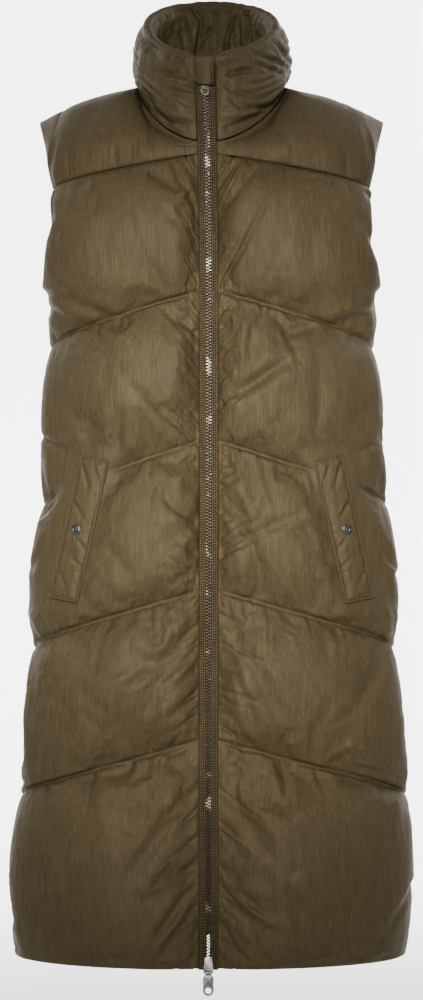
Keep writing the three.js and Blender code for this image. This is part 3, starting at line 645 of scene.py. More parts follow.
def metal_group():
    """Cast metal with fine pits and painted glints: bright in stretches, with a dimmer tone between
    them.
    """
    bright, dim_between_glints = (0.6, 0.6, 0.58, 1), (0.3, 0.3, 0.28, 1)
    inputs = {"Tone": bright, "Dim Between Glints": dim_between_glints, "Polish": 0.3}
    tree, given, result = surface_group("metal surface with painted glints", inputs)
    place = tree.nodes.new("ShaderNodeTexCoord").outputs["Object"]
    pits = noise_on(tree, place, 900, (1, 1, 1), 3)
    # Painted glints: noise picks out stretches that take the bright tone, and the rest keeps the
    # dimmer one.
    glint_stretches = noise_on(tree, place, 42, (1, 1, 1), 3, 0.6)
    painted_glint_mask = spread_to(tree, glint_stretches, 0.57, 0.66)
    tone = blended(tree, painted_glint_mask, given.outputs["Dim Between Glints"], given.outputs["Tone"])
    colour = flecked(tree, tone, spread_to(tree, pits, 0.35, 0.65, 0.40, 1.35))
    join_up(tree, colour, result.inputs["Color"])
    roughness = scaled_sum(tree, pits, 0.25, given.outputs["Polish"])
    join_up(tree, roughness, result.inputs["Roughness"])
    join_up(tree, pits, result.inputs["Height"])
    return tree


NYLON_SURFACE = nylon_group()
METAL_SURFACE = metal_group()


def surface(name, group, values, bump, distance=0.0006, **shader_values):
    """A material that takes its colour, roughness and height from a shared surface group."""
    material = bpy.data.materials.new(name)
    material.use_nodes = True
    tree = material.node_tree
    shader = tree.nodes["Principled BSDF"]
    for key, value in shader_values.items():
        shader.inputs[key.replace("_", " ")].default_value = value
    look = tree.nodes.new("ShaderNodeGroup")
    look.node_tree = group
    for key, value in values.items():
        look.inputs[key].default_value = value
    relief = add_node(tree, "ShaderNodeBump", Strength=bump, Distance=distance)
    join_up(tree, look.outputs["Height"], relief.inputs["Height"])
    join_up(tree, relief.outputs["Normal"], shader.inputs["Normal"])
    join_up(tree, look.outputs["Color"], shader.inputs["Base Color"])
    join_up(tree, look.outputs["Roughness"], shader.inputs["Roughness"])
    return material


def nylon(name, light, dark, crinkle, bump=0.5, **settings):
    values = {"Light": (*light, 1), "Dark": (*dark, 1), "Crinkle": crinkle}
    return surface(name, NYLON_SURFACE, values, bump, **settings)


# The second tone is the dimmer one between the painted glints.
def metal(name, tone, dim_tone_between_glints, polish, metallic=1.0):
    values = {"Tone": (*tone, 1), "Dim Between Glints": (*dim_tone_between_glints, 1), "Polish": polish}
    return surface(name, METAL_SURFACE, values, 0.2, Metallic=metallic)


NYLON = nylon(
    "olive satin nylon",
    (0.060, 0.0440, 0.0205),
    (0.052, 0.0380, 0.0175),
    1.0,
    bump=0.7,
    distance=0.0008,
    Specular_IOR_Level=0.26,
    Specular_Tint=(1.0, 0.84, 0.60, 1),
)
TAPE = nylon(
    "zip tape",
    (0.027, 0.0200, 0.0094),
    (0.019, 0.0138, 0.0065),
    0.4,
    Specular_IOR_Level=0.12,
    Specular_Tint=(1.0, 0.80, 0.55, 1),
)
TAPE_THREAD = nylon(
    "zip sewing thread", (0.150, 0.114, 0.058), (0.120, 0.090, 0.045), 0.2, Specular_IOR_Level=0.3
)
# Dark thread: real stitching, made dark enough that it also paints the shade in the seams' grooves.
THREAD_AND_SEAM_SHADE = nylon(
    "quilting thread and painted seam shade", (0.028, 0.020, 0.010), (0.020, 0.014, 0.007), 0.2, Specular_IOR_Level=0.2
)
BRIGHT_METAL = metal("bright zip metal", (0.50, 0.48, 0.46), (0.31, 0.30, 0.285), 0.20)
# The teeth: their bright stretches are painted glints, and the dark tone between them is painted
# dark reflection.
TOOTH_METAL = metal("zip teeth", (0.36, 0.32, 0.25), (0.046, 0.036, 0.020), 0.30, metallic=0.7)
GUNMETAL = metal("gunmetal", (0.070, 0.062, 0.053), (0.040, 0.035, 0.030), 0.30)
SNAP_METAL = metal("pewter snap metal", (0.26, 0.25, 0.25), (0.17, 0.165, 0.165), 0.26)


# Camera, floor, backdrop and lights
def make_camera():
    camera = bpy.data.objects.new("camera", bpy.data.cameras.new("camera"))
    camera.location = CAMERA_PLACE
    camera.rotation_euler = (math.radians(90), 0, 0)
    camera.data.sensor_width = SENSOR
    camera.data.lens = FOCAL_PIXELS / max(PHOTO_WIDTH, PHOTO_HEIGHT) * SENSOR
    camera.data.clip_end = 50
    bpy.context.scene.collection.objects.link(camera)
    bpy.context.scene.camera = camera


FLOOR_HEIGHT = -1.12
FLOOR_HALF_WIDTH, FLOOR_FRONT = 6.0, -6.0
BACKDROP_PLACE, BACKDROP_TOP, BACKDROP_BEND = 2.5, 5.0, 1.2
BEND_STEPS = 12


def make_floor():
    """A pale floor that curves up into a backdrop."""
    bend_start = BACKDROP_PLACE - BACKDROP_BEND
    outline = [(FLOOR_FRONT, FLOOR_HEIGHT), (bend_start, FLOOR_HEIGHT)]
    for i in range(1, BEND_STEPS + 1):
        turn = i / BEND_STEPS * math.pi / 2
        rise = BACKDROP_BEND * (1 - math.cos(turn))
        outline.append((bend_start + BACKDROP_BEND * math.sin(turn), FLOOR_HEIGHT + rise))
    outline.append((BACKDROP_PLACE, BACKDROP_TOP))
    mesh = bmesh.new()
    verts = [mesh.verts.new((-FLOOR_HALF_WIDTH, *point)) for point in outline]
    edges = [mesh.edges.new(pair) for pair in zip(verts, verts[1:])]
    sweep = bmesh.ops.extrude_edge_only(mesh, edges=edges)
    moved = [item for item in sweep["geom"] if isinstance(item, bmesh.types.BMVert)]
    bmesh.ops.translate(mesh, verts=moved, vec=(2 * FLOOR_HALF_WIDTH, 0, 0))
    bmesh.ops.recalc_face_normals(mesh, faces=mesh.faces)
    pale = bpy.data.materials.new("pale studio paper")
    pale.use_nodes = True
    shader = pale.node_tree.nodes["Principled BSDF"]
    shader.inputs["Base Color"].default_value = (0.86, 0.86, 0.85, 1)
    shader.inputs["Roughness"].default_value = 0.9
    new_piece("studio_floor", mesh, pale, body=None)


# Square soft lights. The power is in watts, and the spread is the angle that the beam opens to.
Lamp = namedtuple("Lamp", "name place aim size power spread")
WAIST, BACKDROP_MIDDLE = Vector((0, 0, -0.47)), Vector((0, 2.5, -0.2))
LAMPS = (
    Lamp("key", (-0.15, -2.2, -0.06), WAIST, 0.6, 5.6, 36),
    Lamp("fill", (0.9, -2.2, 0.3), WAIST, 1.2, 4, 180),
    Lamp("top", (0.0, 0.1, 1.7), WAIST, 1.0, 3, 180),
    Lamp("rear", (0.9, 2.0, 0.9), WAIST, 1.2, 6, 180),
    Lamp("backdrop left", (-2.0, 1.3, 1.4), BACKDROP_MIDDLE, 1.6, 170, 110),
    Lamp("backdrop right", (2.0, 1.3, 1.4), BACKDROP_MIDDLE, 1.6, 170, 110),
)
AIR_LIGHT = 0.06


def make_lights():
    world = bpy.data.worlds.new("studio air")
    world.use_nodes = True
    background = world.node_tree.nodes["Background"]
    background.inputs["Color"].default_value = (1, 1, 1, 1)
    background.inputs["Strength"].default_value = AIR_LIGHT
    bpy.context.scene.world = world
    for lamp in LAMPS:
        light = bpy.data.lights.new(lamp.name, "AREA")
        light.size, light.energy, light.spread = lamp.size, lamp.power, math.radians(lamp.spread)
        stand = bpy.data.objects.new(lamp.name, light)
        stand.location = lamp.place
        aim = lamp.aim - Vector(lamp.place)
        stand.rotation_euler = aim.to_track_quat("-Z", "Y").to_euler()
        stand.visible_camera = False
        bpy.context.scene.collection.objects.link(stand)


make_camera()
make_floor()
make_lights()


# Quilted panels
Spot = namedtuple("Spot", "sign share chamber t z")


def panel_spot(panel, across, down):
    """Which place of the body a point of a panel's cloth lies at."""
    sign, share = panel_share(panel, across)
    rows = PANEL_GRIDS[panel_face(panel)].rows
    row = down * sum(rows)
    chamber = 0
    while chamber < len(rows) - 1 and row > rows[chamber]:
        row -= rows[chamber]
        chamber += 1
    t = clamp(row / rows[chamber])
    z = mix(seam_height(chamber, share), seam_height(chamber + 1, share), t)
    return Spot(sign, share, chamber, t, z - (SEAM_GAP / 2 if down == 0 else 0))


def panel_share(panel, across):
    """The side and the share of the way to it: across runs left to right, seen from outside."""
    if panel == "back":
        place = 1 - 2 * across
        return (1 if place >= 0 else -1), abs(place)
    return (-1, 1 - across) if panel == "front_left" else (1, across)


def panel_face(panel):
    return "back" if panel.startswith("back") else "front"


# How the puckers beside the zip lean in each chamber: up and out, or below nothing down and out
ZIP_PUCKER_LEANS = (1.5, 1.0, 0.6, -0.5, -0.8)
ZIP_SPACING = 0.36  # how much closer together a front's columns are at the zip
SIDE_CALM = 0.012  # how far from a side seam or an armhole the broad folds start
STITCH_CALM = 0.003  # how far from the zip and the sides the fine puckers are at full depth
NIP, NIP_REACH = 0.0014, 0.0032  # how far the quilting stitches pull the cloth in, and how near


def closer_at_zip(panel):
    """Spaces a front's columns closer together towards the zip, where its cloth puckers most."""

    def closer(u):
        return u * mix(ZIP_SPACING, 1, u)

    if panel == "front_left":
        return lambda across: 1 - closer(1 - across)
    return closer if panel == "front_right" else evenly


def calm_under_welt(panel, spot):
    """1 where the cloth puckers freely, and less where a pocket welt holds it flat."""
    if panel_face(panel) == "back":
        return 1
    return 1 - beside_welt(body_point("front", spot.sign, spot.share, spot.z).x, spot.z)


def seam_distances(panel, spot):
    """Distances along the cloth to the middle, the side and the seams above and below."""
    length = FRONT_LENGTH if panel_face(panel) == "front" else BACK_LENGTH
    height = seam_height(spot.chamber, spot.share) - seam_height(spot.chamber + 1, spot.share)
    away = spot.share * length, (1 - spot.share) * length
    return *away, spot.t * height, (1 - spot.t) * height


def panel_seed(panel, spot):
    return 10 * spot.chamber + {"front_left": 0, "front_right": 100, "back": 200}[panel]


def broad_folds(panel, spot):
    """The broad gathers that the cloth starts from before it is filled."""
    middle, side, top, bottom = seam_distances(panel, spot)
    seed = panel_seed(panel, spot)
    drawn = pucker(LOOSE_PUCKERS, spot.sign * middle, top, seed)
    if spot.chamber < len(SEAMS) - 2:
        drawn += pucker(LOOSE_PUCKERS, spot.sign * middle, bottom, seed + 5)
    if panel_face(panel) == "front":
        lean = ZIP_PUCKER_LEANS[spot.chamber]
        drawn += pucker(LOOSE_PUCKERS, spot.z - lean * middle, middle, 40 + 9 * spot.sign)
    loose = loose_folds(spot.sign * middle, spot.z + 0.8 * middle, seed) * swell(spot.t)
    return (drawn + loose) * near_seam(side, SIDE_CALM) * calm_under_welt(panel, spot)


def panel_gathers(panel):
    """The fine puckers of a panel, beside its seams, its sides and the zip."""

    def depth_at(across, down):
        spot = panel_spot(panel, across, down)
        middle, side, top, bottom = seam_distances(panel, spot)
        seed = panel_seed(panel, spot)
        drawn = 0.8 * gathers(spot.sign * middle, top, seed + 1)
        if spot.chamber < len(SEAMS) - 2:
            drawn += 0.6 * gathers(spot.sign * middle, bottom, seed + 6)
        drawn += 0.5 * gathers(spot.z, side, 70 + 9 * spot.sign)
        if panel_face(panel) == "front":
            lean = ZIP_PUCKER_LEANS[spot.chamber]
            drawn += gathers(spot.z - lean * middle, middle, 50 + 9 * spot.sign)
            drawn *= smooth(middle / STITCH_CALM)
        from_seam = min(top if spot.chamber else 1, bottom if spot.chamber < len(SEAMS) - 2 else 1)
        drawn += NIP * (1 - smooth(from_seam / NIP_REACH))
        return drawn * smooth(side / STITCH_CALM) * calm_under_welt(panel, spot)

    return depth_at


def panel_outer(panel):
    face = panel_face(panel)

    def place(across, down):
        spot = panel_spot(panel, across, down)
        base = body_point(face, spot.sign, spot.share, spot.z)
        out = body_outward(face, spot.sign, spot.share, spot.z)
        stand = puff(face, spot.sign, spot.share, spot.z, spot.t, spot.chamber)
        return base + out * max(0.0, stand - broad_folds(panel, spot) * min(1.0, stand / CALM_STAND))

    return place


def panel_inner(panel):
    face = panel_face(panel)

    def place(across, down):
        spot = panel_spot(panel, across, down)
        base = body_point(face, spot.sign, spot.share, spot.z)
        return base - body_outward(face, spot.sign, spot.share, spot.z) * CLOTH

    return place


# How the padding fills the cloth between its seams
FILL_FRAMES = 20
FILL_PRESSURE = 3.0
EXTRA_CLOTH = 0.035  # how much longer the cloth is than the form it covers
FILL_REACH = 0.009  # the furthest that any point may move
FILL_ROOM = 0.85  # the same, as a share of how far it stands off the body
FILL_HELD = 0.6  # cloth that is calmer than this under a welt is held there


def fill_cloth(mesh, sewn, stand):
    """How far each point of a panel's cloth moves as it is filled, held where it is sewn."""
    data = bpy.data.meshes.new("cloth to fill")
    mesh.to_mesh(data)
    cloth_object = bpy.data.objects.new("cloth to fill", data)
    bpy.context.scene.collection.objects.link(cloth_object)
    cloth_object.vertex_groups.new(name="sewn").add(sewn, 1.0, "REPLACE")
    modifier = cloth_object.modifiers.new("padding", "CLOTH")
    cloth = modifier.settings
    cloth.quality = 4
    cloth.mass = 0.12
    cloth.tension_stiffness = cloth.compression_stiffness = 14
    cloth.shear_stiffness = 5
    cloth.bending_stiffness = 0.05
    cloth.use_pressure = True
    cloth.uniform_pressure_force = FILL_PRESSURE
    cloth.shrink_min = -EXTRA_CLOTH
    cloth.vertex_group_mass = "sewn"
    cloth.effector_weights.gravity = 0
    modifier.collision_settings.use_collision = False
    modifier.point_cache.frame_end = FILL_FRAMES
    for number in range(1, FILL_FRAMES + 1):
        bpy.context.scene.frame_set(number)
    filled = cloth_object.evaluated_get(bpy.context.evaluated_depsgraph_get()).data
    steps = []
    for vert, moved, room in zip(mesh.verts, filled.vertices, stand):
        step = moved.co - vert.co
        reach = min(FILL_REACH, FILL_ROOM * room)
        steps.append(step * (reach / step.length) if step.length > reach else step)
    bpy.data.objects.remove(cloth_object)
    bpy.data.meshes.remove(data)
    bpy.context.scene.frame_set(1)
    return steps


def sewn_places(mesh, panel, columns, rows):
    """Which points of a panel are sewn down, and how far each of its points stands off."""
    seam_rows = {sum(rows[:i]) for i in range(len(rows) + 1)}
    at_level = panel_inner(panel)
    shares = [mesh.verts.layers.float[name] for name in ("across", "down")]
    sewn, stand = [], []
    for vert in mesh.verts:
        row, column = divmod(vert.index, columns + 1)
        across, down = vert[shares[0]], vert[shares[1]]
        held = sum(rows) - row in seam_rows or column in (0, columns)
        if held or calm_under_welt(panel, panel_spot(panel, across, down)) < FILL_HELD:
            sewn.append(vert.index)
        stand.append(max(0.0, (vert.co - at_level(across, down)).length - CLOTH))
    return sewn, stand


def filling(panel):
    """How far the padding moves the cloth of a panel at any place across and down it."""
    grid = PANEL_GRIDS[panel_face(panel)]
    columns, rows = grid.filling_columns, [count // 2 for count in grid.rows]
    mesh = cloth_grid(columns, sum(rows), panel_outer(panel), 1, 1)
    steps = fill_cloth(mesh, *sewn_places(mesh, panel, columns, rows))
    mesh.free()

    def step_at(column, row):
        return steps[(sum(rows) - row) * (columns + 1) + column]

    def push(across, down):
        column = min(int(across * columns), columns - 1)
        row = min(int(down * sum(rows)), sum(rows) - 1)
        beside, below = across * columns - column, down * sum(rows) - row
        upper = step_at(column, row).lerp(step_at(column + 1, row), beside)
        lower = step_at(column, row + 1).lerp(step_at(column + 1, row + 1), beside)
        return upper.lerp(lower, below)

    return push


def make_panel(panel):
    columns, rows, _ = PANEL_GRIDS[panel_face(panel)]
    length = 2 * BACK_LENGTH if panel == "back" else FRONT_LENGTH
    outer = panel_outer(panel)
    push = filling(panel)
    mesh = cloth_grid(
        columns,
        sum(rows),
        lambda across, down: outer(across, down) + push(across, down),
        length,
        PANEL_HEIGHT,
        closer_at_zip(panel),
    )
    finer_cloth(mesh)
    draw_in(mesh, panel_gathers(panel))
    inside = columns // INSIDE_SHARE, sum(rows) // INSIDE_SHARE
    close_wall(mesh, *inside, panel_inner(panel))
    piece = new_piece("quilted_" + panel, mesh, NYLON)
    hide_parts(panel)
    return piece


def quilting_line(seam, face, sign):
    """Where the stitching of a quilting seam runs. The yoke seam's lies just below it."""
    down, stand = (0.0012, 0.0006) if seam == 0 else (0, -NIP)
    points, normals = [], []
    for i in range(4, 78):
        share = i / 80
        z = seam_height(seam, share) - down
        out = body_outward(face, sign, share, z)
        points.append(body_point(face, sign, share, z) + out * stand)
        normals.append(out)
    return points, normals


def quilting_lines():
    parts = (("front", -1), ("front", 1), ("back", -1), ("back", 1))
    return [quilting_line(seam, *part) for seam in range(len(SEAMS) - 1) for part in parts]


def add_smoothing(piece, levels=1):
    modifier = piece.modifiers.new("smooth cloth", "SUBSURF")
    modifier.levels = modifier.render_levels = levels


# Yokes, which roll over the shoulders to the neck
def round_the_neck(level, tilt, saddle, s):
    return level + tilt * math.cos(s) + saddle * math.cos(2 * s)


def ring_point(ring, s):
    """A point of a ring round the neck: s is 0 at the zip and a half turn at the back."""
    z = round_the_neck(*ring.z, s)
    x = ring.half * math.sin(s) + zip_x(z) * max(0, math.cos(s)) ** 2
    return Vector((x, round_the_neck(*ring.y, s), z))


def ring_start(ring):
    return math.asin(SLOT_HALF / ring.half)


RING_START = ring_start(NECK)


def yoke_top(face, sign, share):
    """A point of a yoke's top edge, along the neck and then out to the shoulder's tip."""
    start_turn = RING_START if face == "front" else 0
    turn = mix(start_turn, math.pi / 2, clamp(share / SHOULDER_SHARE))
    neck = ring_point(NECK, sign * (turn if face == "front" else math.pi - turn))
    tip = Vector((sign * SHOULDER_TIP.x, SHOULDER_TIP.y, SHOULDER_TIP.z))
    along = clamp((share - SHOULDER_SHARE) / (1 - SHOULDER_SHARE))
    point = neck.lerp(tip, along)
    point.z += SHOULDER_ARCH * math.sin(math.pi * along)
    point.y += (-1 if face == "front" else 1) * SEAM_GAP / 2 * smooth(along * 8)
    return point


def yoke_point(face, sign, share, w):
    """A point of a yoke at seam level: w runs from the yoke seam to its top edge."""
    seam = seam_height(0, share) + SEAM_GAP / 2
    start = body_point(face, sign, share, seam)
    end = yoke_top(face, sign, share)
    length = (end - start).length
    up_body = (start - body_point(face, sign, share, seam - 0.004)).normalized()
    backwards = 1 if face == "front" else -1
    at_neck = Vector((0, 0.25 * backwards, 1)).normalized()
    at_shoulder = Vector((0, backwards, 0.15)).normalized()
    arrive = at_neck.lerp(at_shoulder, smooth((share - 0.22) / 0.25)).normalized()
    w2, w3 = w * w, w * w * w
    line = start * (2 * w3 - 3 * w2 + 1) + end * (3 * w2 - 2 * w3)
    return line + up_body * (w3 - 2 * w2 + w) * length + arrive * (w3 - w2) * length


def yoke_outward(face, sign, share, w):
    """The direction out of a yoke: that of the panel below at the seam between them."""
    step = 0.02
    right = yoke_point(face, sign, clamp(share + step), w)
    left = yoke_point(face, sign, clamp(share - step), w)
    above = yoke_point(face, sign, share, clamp(w + step))
    below = yoke_point(face, sign, share, clamp(w - step))
    out = (right - left).cross(above - below).normalized() * (sign if face == "front" else -sign)
    out.y *= 1 - smooth((share - 0.4) / 0.15) * smooth((w - 0.5) / 0.5)
    square = body_outward(face, sign, share, seam_height(0, share))
    return out.lerp(square, 1 - smooth(w / 0.35)).normalized()


YOKE_FULL_HEIGHT = 0.090  # a lower yoke than this is less full


def yoke_puff(face, sign, share, w):
    """How far a yoke's outer cloth stands off the body."""
    middle, edge = share * FRONT_LENGTH, (1 - share) * FRONT_LENGTH
    height = (yoke_point(face, sign, share, 1) - yoke_point(face, sign, share, 0)).length
    beside_neck = mix(smooth((1 - w) / 0.4), 1, smooth((share - SHOULDER_SHARE) / 0.2))
    level = min(1, height / YOKE_FULL_HEIGHT) * math.sin(math.pi * clamp(w)) ** 0.8 * beside_neck
    from_middle = near_seam(middle, ZIP_REACH) if face == "front" else 1
    crown = YOKE_CROWN * level * from_middle * near_seam(edge, YOKE_EDGE_REACH)
    along = sign * share * FRONT_LENGTH
    seed = 200 if face == "front" else 230
    drawn = 0.7 * gathers(along, w * height, seed)
    drawn += 0.5 * gathers(along, (1 - w) * height, seed + 3)
    if face == "front":
        drawn += 0.7 * gathers(w * height, middle, seed + 6 + sign)
    drawn += 0.5 * loose_folds(along, w * height, seed)
    calm = near_seam(min(w, 1 - w) * height, SIDE_CALM) * near_seam(edge, SIDE_CALM)
    if face == "front":
        spot = yoke_point(face, sign, share, w)
        drawn += crease_depth(YOKE_CREASES, spot.x, spot.z)
        calm *= near_seam(middle, 0.010)
    return max(0.0, crown - drawn * calm)


def make_yoke(yoke):
    panel = yoke.replace("_yoke", "")
    face = panel_face(panel)
    columns = YOKE_COLUMNS[face]
    length = 2 * BACK_LENGTH if panel == "back" else FRONT_LENGTH

    def outer(across, down):
        spot = (face, *panel_share(panel, across), 1 - down)
        return yoke_point(*spot) + yoke_outward(*spot) * yoke_puff(*spot)

    def inner(across, down):
        spot = (face, *panel_share(panel, across), 1 - down)
        return yoke_point(*spot) - yoke_outward(*spot) * CLOTH

    mesh = cloth_grid(columns, YOKE_ROWS, outer, length, 0.1)
    close_wall(mesh, columns, YOKE_ROWS, inner)
    piece = new_piece("cloth_" + yoke, mesh, NYLON)
    add_smoothing(piece)
    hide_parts(yoke)
    return piece


# Stand collar: a padded band round the neck, open at the zip
COLLAR_COLUMNS, COLLAR_ROWS = 210, 86
COLLAR_TOP_ROWS = 10  # of these, on the rounded rim
COLLAR_HEIGHT = 0.105


def collar_turn(s):
    """How far round the neck a place is from the zip, either way."""
    return 2 * math.pi - abs(s) if abs(s) > math.pi else abs(s)


def collar_fullness(s):
    """How full the padding is: less beside the zip."""
    reach = 0.7 * ZIP_REACH
    return mix(COLLAR_AT_ZIP, 1, near_seam((collar_turn(s) - RING_START) * NECK.half, reach))


def collar_point(s, t, offset):
    """A point between the neck seam and the rim, and how far it stands out from the middle."""
    from_zip = (collar_turn(s) - RING_START) / (math.pi / 2)
    late = (ring_start(RIM) - RING_START) * (1 - smooth(from_zip))
    rim_turn = s - late if s > math.pi else s + late
    point = ring_point(NECK, s).lerp(ring_point(RIM, rim_turn), t)
    return point + Vector((math.sin(s), -math.cos(s), 0)) * offset + Vector((0, 0, COLLAR_LIFT))


def collar_folds(s, t, inside):
    """Gathers up from the neck seam, down from the rim and out from the zip, and main creases."""
    height, along = COLLAR_HEIGHT, s * NECK.half
    seed = 320 if inside else 300
    drawn = gathers(along, t * height, seed) + gathers(along, (1 - t) * height, seed + 4)
    spot = collar_point(s, t, 0)
    if inside and spot.y > 0:
        drawn += crease_depth(INSIDE_CREASES, spot.x, spot.z)
    if not inside:
        drawn += gathers(t * height, (collar_turn(s) - RING_START) * NECK.half, seed + 8)
        if spot.y < 0:
            drawn += crease_depth(COLLAR_CREASES, spot.x, spot.z)
    slant = noise.noise(Vector((along / 0.050, t * height / 0.012 + along / 0.05, seed)))
    ridges = 0.0022 * (0.4 - abs(slant) * 2) * math.sin(math.pi * t)
    if inside:
        upright = noise.noise(Vector((along / 0.016, t * 1.4, seed + 2)))
        ridges += 0.0040 * (0.4 - abs(upright) * 2) * math.sin(math.pi * t)
    return drawn + ridges


def collar_place(across, down):
    """A point of the collar's cloth: up the outside, over the rim and down the inside."""
    s = mix(RING_START, 2 * math.pi - RING_START, across)
    full = collar_fullness(s)
    row = down * COLLAR_ROWS
    wall_rows = (COLLAR_ROWS - COLLAR_TOP_ROWS) / 2
    outer_rim = COLLAR["outer"](1) * COLLAR_OUTWARD * full
    inner_rim = -CLOTH - COLLAR["inner"](1) * COLLAR_INWARD * full
    if row <= wall_rows:
        t = row / wall_rows
        offset = COLLAR["outer"](t) * COLLAR_OUTWARD * full
        return collar_point(s, t, offset - collar_folds(s, t, False) * full * smooth(t / 0.08))
    if row >= wall_rows + COLLAR_TOP_ROWS:
        t = (COLLAR_ROWS - row) / wall_rows
        offset = -CLOTH - COLLAR["inner"](t) * COLLAR_INWARD * full
        return collar_point(s, t, offset + collar_folds(s, t, True) * full * smooth(t / 0.08))
    turn = (row - wall_rows) / COLLAR_TOP_ROWS * math.pi
    middle, half = (outer_rim + inner_rim) / 2, (outer_rim - inner_rim) / 2
    point = collar_point(s, 1, middle + half * math.cos(turn))
    ripple = noise.noise(Vector((s * NECK.half / 0.011, 0.3, 340)))
    point.z += math.sin(turn) * (0.9 * half + COLLAR_RIM_LIFT * full - 0.0022 * abs(ripple) * full)
    return point


def make_collar():
    mesh = cloth_grid(COLLAR_COLUMNS, COLLAR_ROWS, collar_place, 0.52, 0.24)
    across = mesh.verts.layers.float["across"]
    rims = [edge for edge in mesh.edges if edge.is_boundary]
    bmesh.ops.bridge_loops(mesh, edges=[edge for edge in rims if not at_zip(edge, across)])
    bmesh.ops.holes_fill(mesh, edges=[edge for edge in mesh.edges if edge.is_boundary], sides=0)
    bmesh.ops.recalc_face_normals(mesh, faces=mesh.faces)
    piece = new_piece("cloth_collar", mesh, NYLON)
    add_smoothing(piece)
    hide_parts("collar")
    return piece


def at_zip(edge, across):
    """True for the edges of the collar's two ends, which run up beside the zip."""
    return all(min(vert[across], 1 - vert[across]) < 0.001 for vert in edge.verts)


# Surfaces that small pieces are laid on
def surface_tree(*pieces):
    graph = bpy.context.evaluated_depsgraph_get()
    return [BVHTree.FromObject(piece, graph) for piece in pieces]


def front_hit(trees, x, z):
    """The foremost point of some pieces at a place in the front view, and its outward direction."""
    best = None
    for tree in trees:
        point, normal, _, _ = tree.ray_cast(Vector((x, -1, z)), Vector((0, 1, 0)))
        if point and (best is None or point.y < best[0].y):
            best = (point, normal if normal.y < 0 else -normal)
    return best


def joined_copies(template, places):
    """Many copies of one small shape in one mesh."""
    data = bpy.data.meshes.new("small shape")
    template.to_mesh(data)
    template.free()
    points = [vert.co.copy() for vert in data.vertices]
    mesh = bmesh.new()
    for place in places:
        data.vertices.foreach_set("co", [value for point in points for value in place @ point])
        mesh.from_mesh(data)
    bpy.data.meshes.remove(data)
    return mesh


Stitch = namedtuple("Stitch", "length gap thick")
# The quilting stitch is thick so that its dark thread also paints the shade along each seam.
QUILTING_STITCH = Stitch(0.0027, 0.0006, 0.0012)
WELT_STITCH = Stitch(0.0022, 0.0008, 0.0009)
TAPE_STITCH = Stitch(0.0018, 0.0010, 0.0012)


def stitch_shape(stitch):
    mesh = bmesh.new()
    bmesh.ops.create_icosphere(mesh, subdivisions=1, radius=0.5)
    bmesh.ops.scale(mesh, verts=mesh.verts, vec=(stitch.length, stitch.thick, stitch.thick))
    return mesh


def stitch_places(stitch, points, normals):
    """A place for each stitch along a line of points on cloth."""
    places = []
    travelled, wanted = 0.0, stitch.length / 2
    for (a, b), normal in zip(zip(points, points[1:]), normals):
        step = (b - a).length
        while step > 0 and wanted <= travelled + step:
            at = a.lerp(b, (wanted - travelled) / step)
            along = (b - a).normalized()
            side = normal.cross(along).normalized()
            up = along.cross(side)
            turn = Matrix((along, side, up)).transposed().to_4x4()
            places.append(Matrix.Translation(at + up * stitch.thick * 0.25) @ turn)
            wanted += stitch.length + stitch.gap
        travelled += step
    return places


def laid_line(trees, place, start, stop, steps=24):
    """Points on a laid-on piece from start to stop, where place() turns each into x and z."""
    shares = [i / steps for i in range(steps + 1)]
    spots = [place(mix(start[0], stop[0], t), mix(start[1], stop[1], t)) for t in shares]
    hits = [hit for hit in (front_hit(trees, x, z) for x, z in spots) if hit]
    return [hit[0] for hit in hits], [hit[1] for hit in hits]


def stitched_ring(trees, place, corners):
    """Lines from each corner to the next, all the way round."""
    sides = zip(corners, corners[1:] + corners[:1])
    return [laid_line(trees, place, start, stop) for start, stop in sides]


def make_stitches(name, lines, stitch, thread):
    places = []
    for points, normals in lines:
        places += stitch_places(stitch, points, normals)
    piece = new_piece(name, joined_copies(stitch_shape(stitch), places), thread)
    return piece


# Zip
def zip_depth(z):
    """How far forward the zip lies, from the hem to the top of the collar."""
    low, high = ring_point(NECK, 0), ring_point(RIM, 0)
    if z < low.z:
        return BODY["front"](z)
    return -mix(low.y, high.y, clamp((z - low.z) / (high.z - low.z)))


# A tape runs from beside the zip's middle line to under the padded cloth
TAPE_INNER = 0.0014
TAPE_ROWS = 260
TAPE_SEAMS = (0.0043, 0.0066, 0.0089)  # rows of stitching and of raised weave on each tape


def make_tape(name, sign):
    inner, outer = sign * TAPE_INNER, sign * TAPE_HALF
    left, right = min(inner, outer), max(inner, outer)

    def at_depth(depth):
        def place(across, down):
            z = mix(ZIP_TOP, ZIP_BOTTOM, down)
            return Vector((zip_x(z) + mix(left, right, across), -zip_depth(z) + depth, z))

        return place

    width, length = 0.010, ZIP_TOP - ZIP_BOTTOM
    mesh = cloth_grid(4, TAPE_ROWS, at_depth(TAPE_FACE), TAPE_HALF - TAPE_INNER, length)
    close_wall(mesh, 4, TAPE_ROWS, at_depth(TAPE_FACE + TAPE_THICK))
    piece = new_piece("woven_" + name, mesh, TAPE, smooth_faces=False)
    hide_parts(name)
    return piece


def tape_line(across):
    """A row of stitching up a tape."""
    heights = [mix(ZIP_BOTTOM + 0.002, ZIP_TOP - 0.030, i / 300) for i in range(301)]
    points = [Vector((zip_x(z) + across, -zip_depth(z) + TAPE_FACE, z)) for z in heights]
    return points, [Vector((0, -1, 0))] * len(points)


Tooth = namedtuple("Tooth", "root tip root_height tip_height depth")
TOOTH = Tooth(0.0031, -0.0007, 0.0023, 0.0010, 0.0022)


def tooth_shape():
    """One tooth of the right side, its root on the tape and its tip past the middle."""
    mesh = bmesh.new()
    bmesh.ops.create_cube(mesh, size=1)
    for vert in mesh.verts:
        at_root = vert.co.x > 0
        vert.co.x = TOOTH.root if at_root else TOOTH.tip
        vert.co.y *= TOOTH.depth
        vert.co.z *= TOOTH.root_height if at_root else TOOTH.tip_height
    bevel(mesh, mesh.edges[:], offset=0.0003, segments=1)
    return mesh


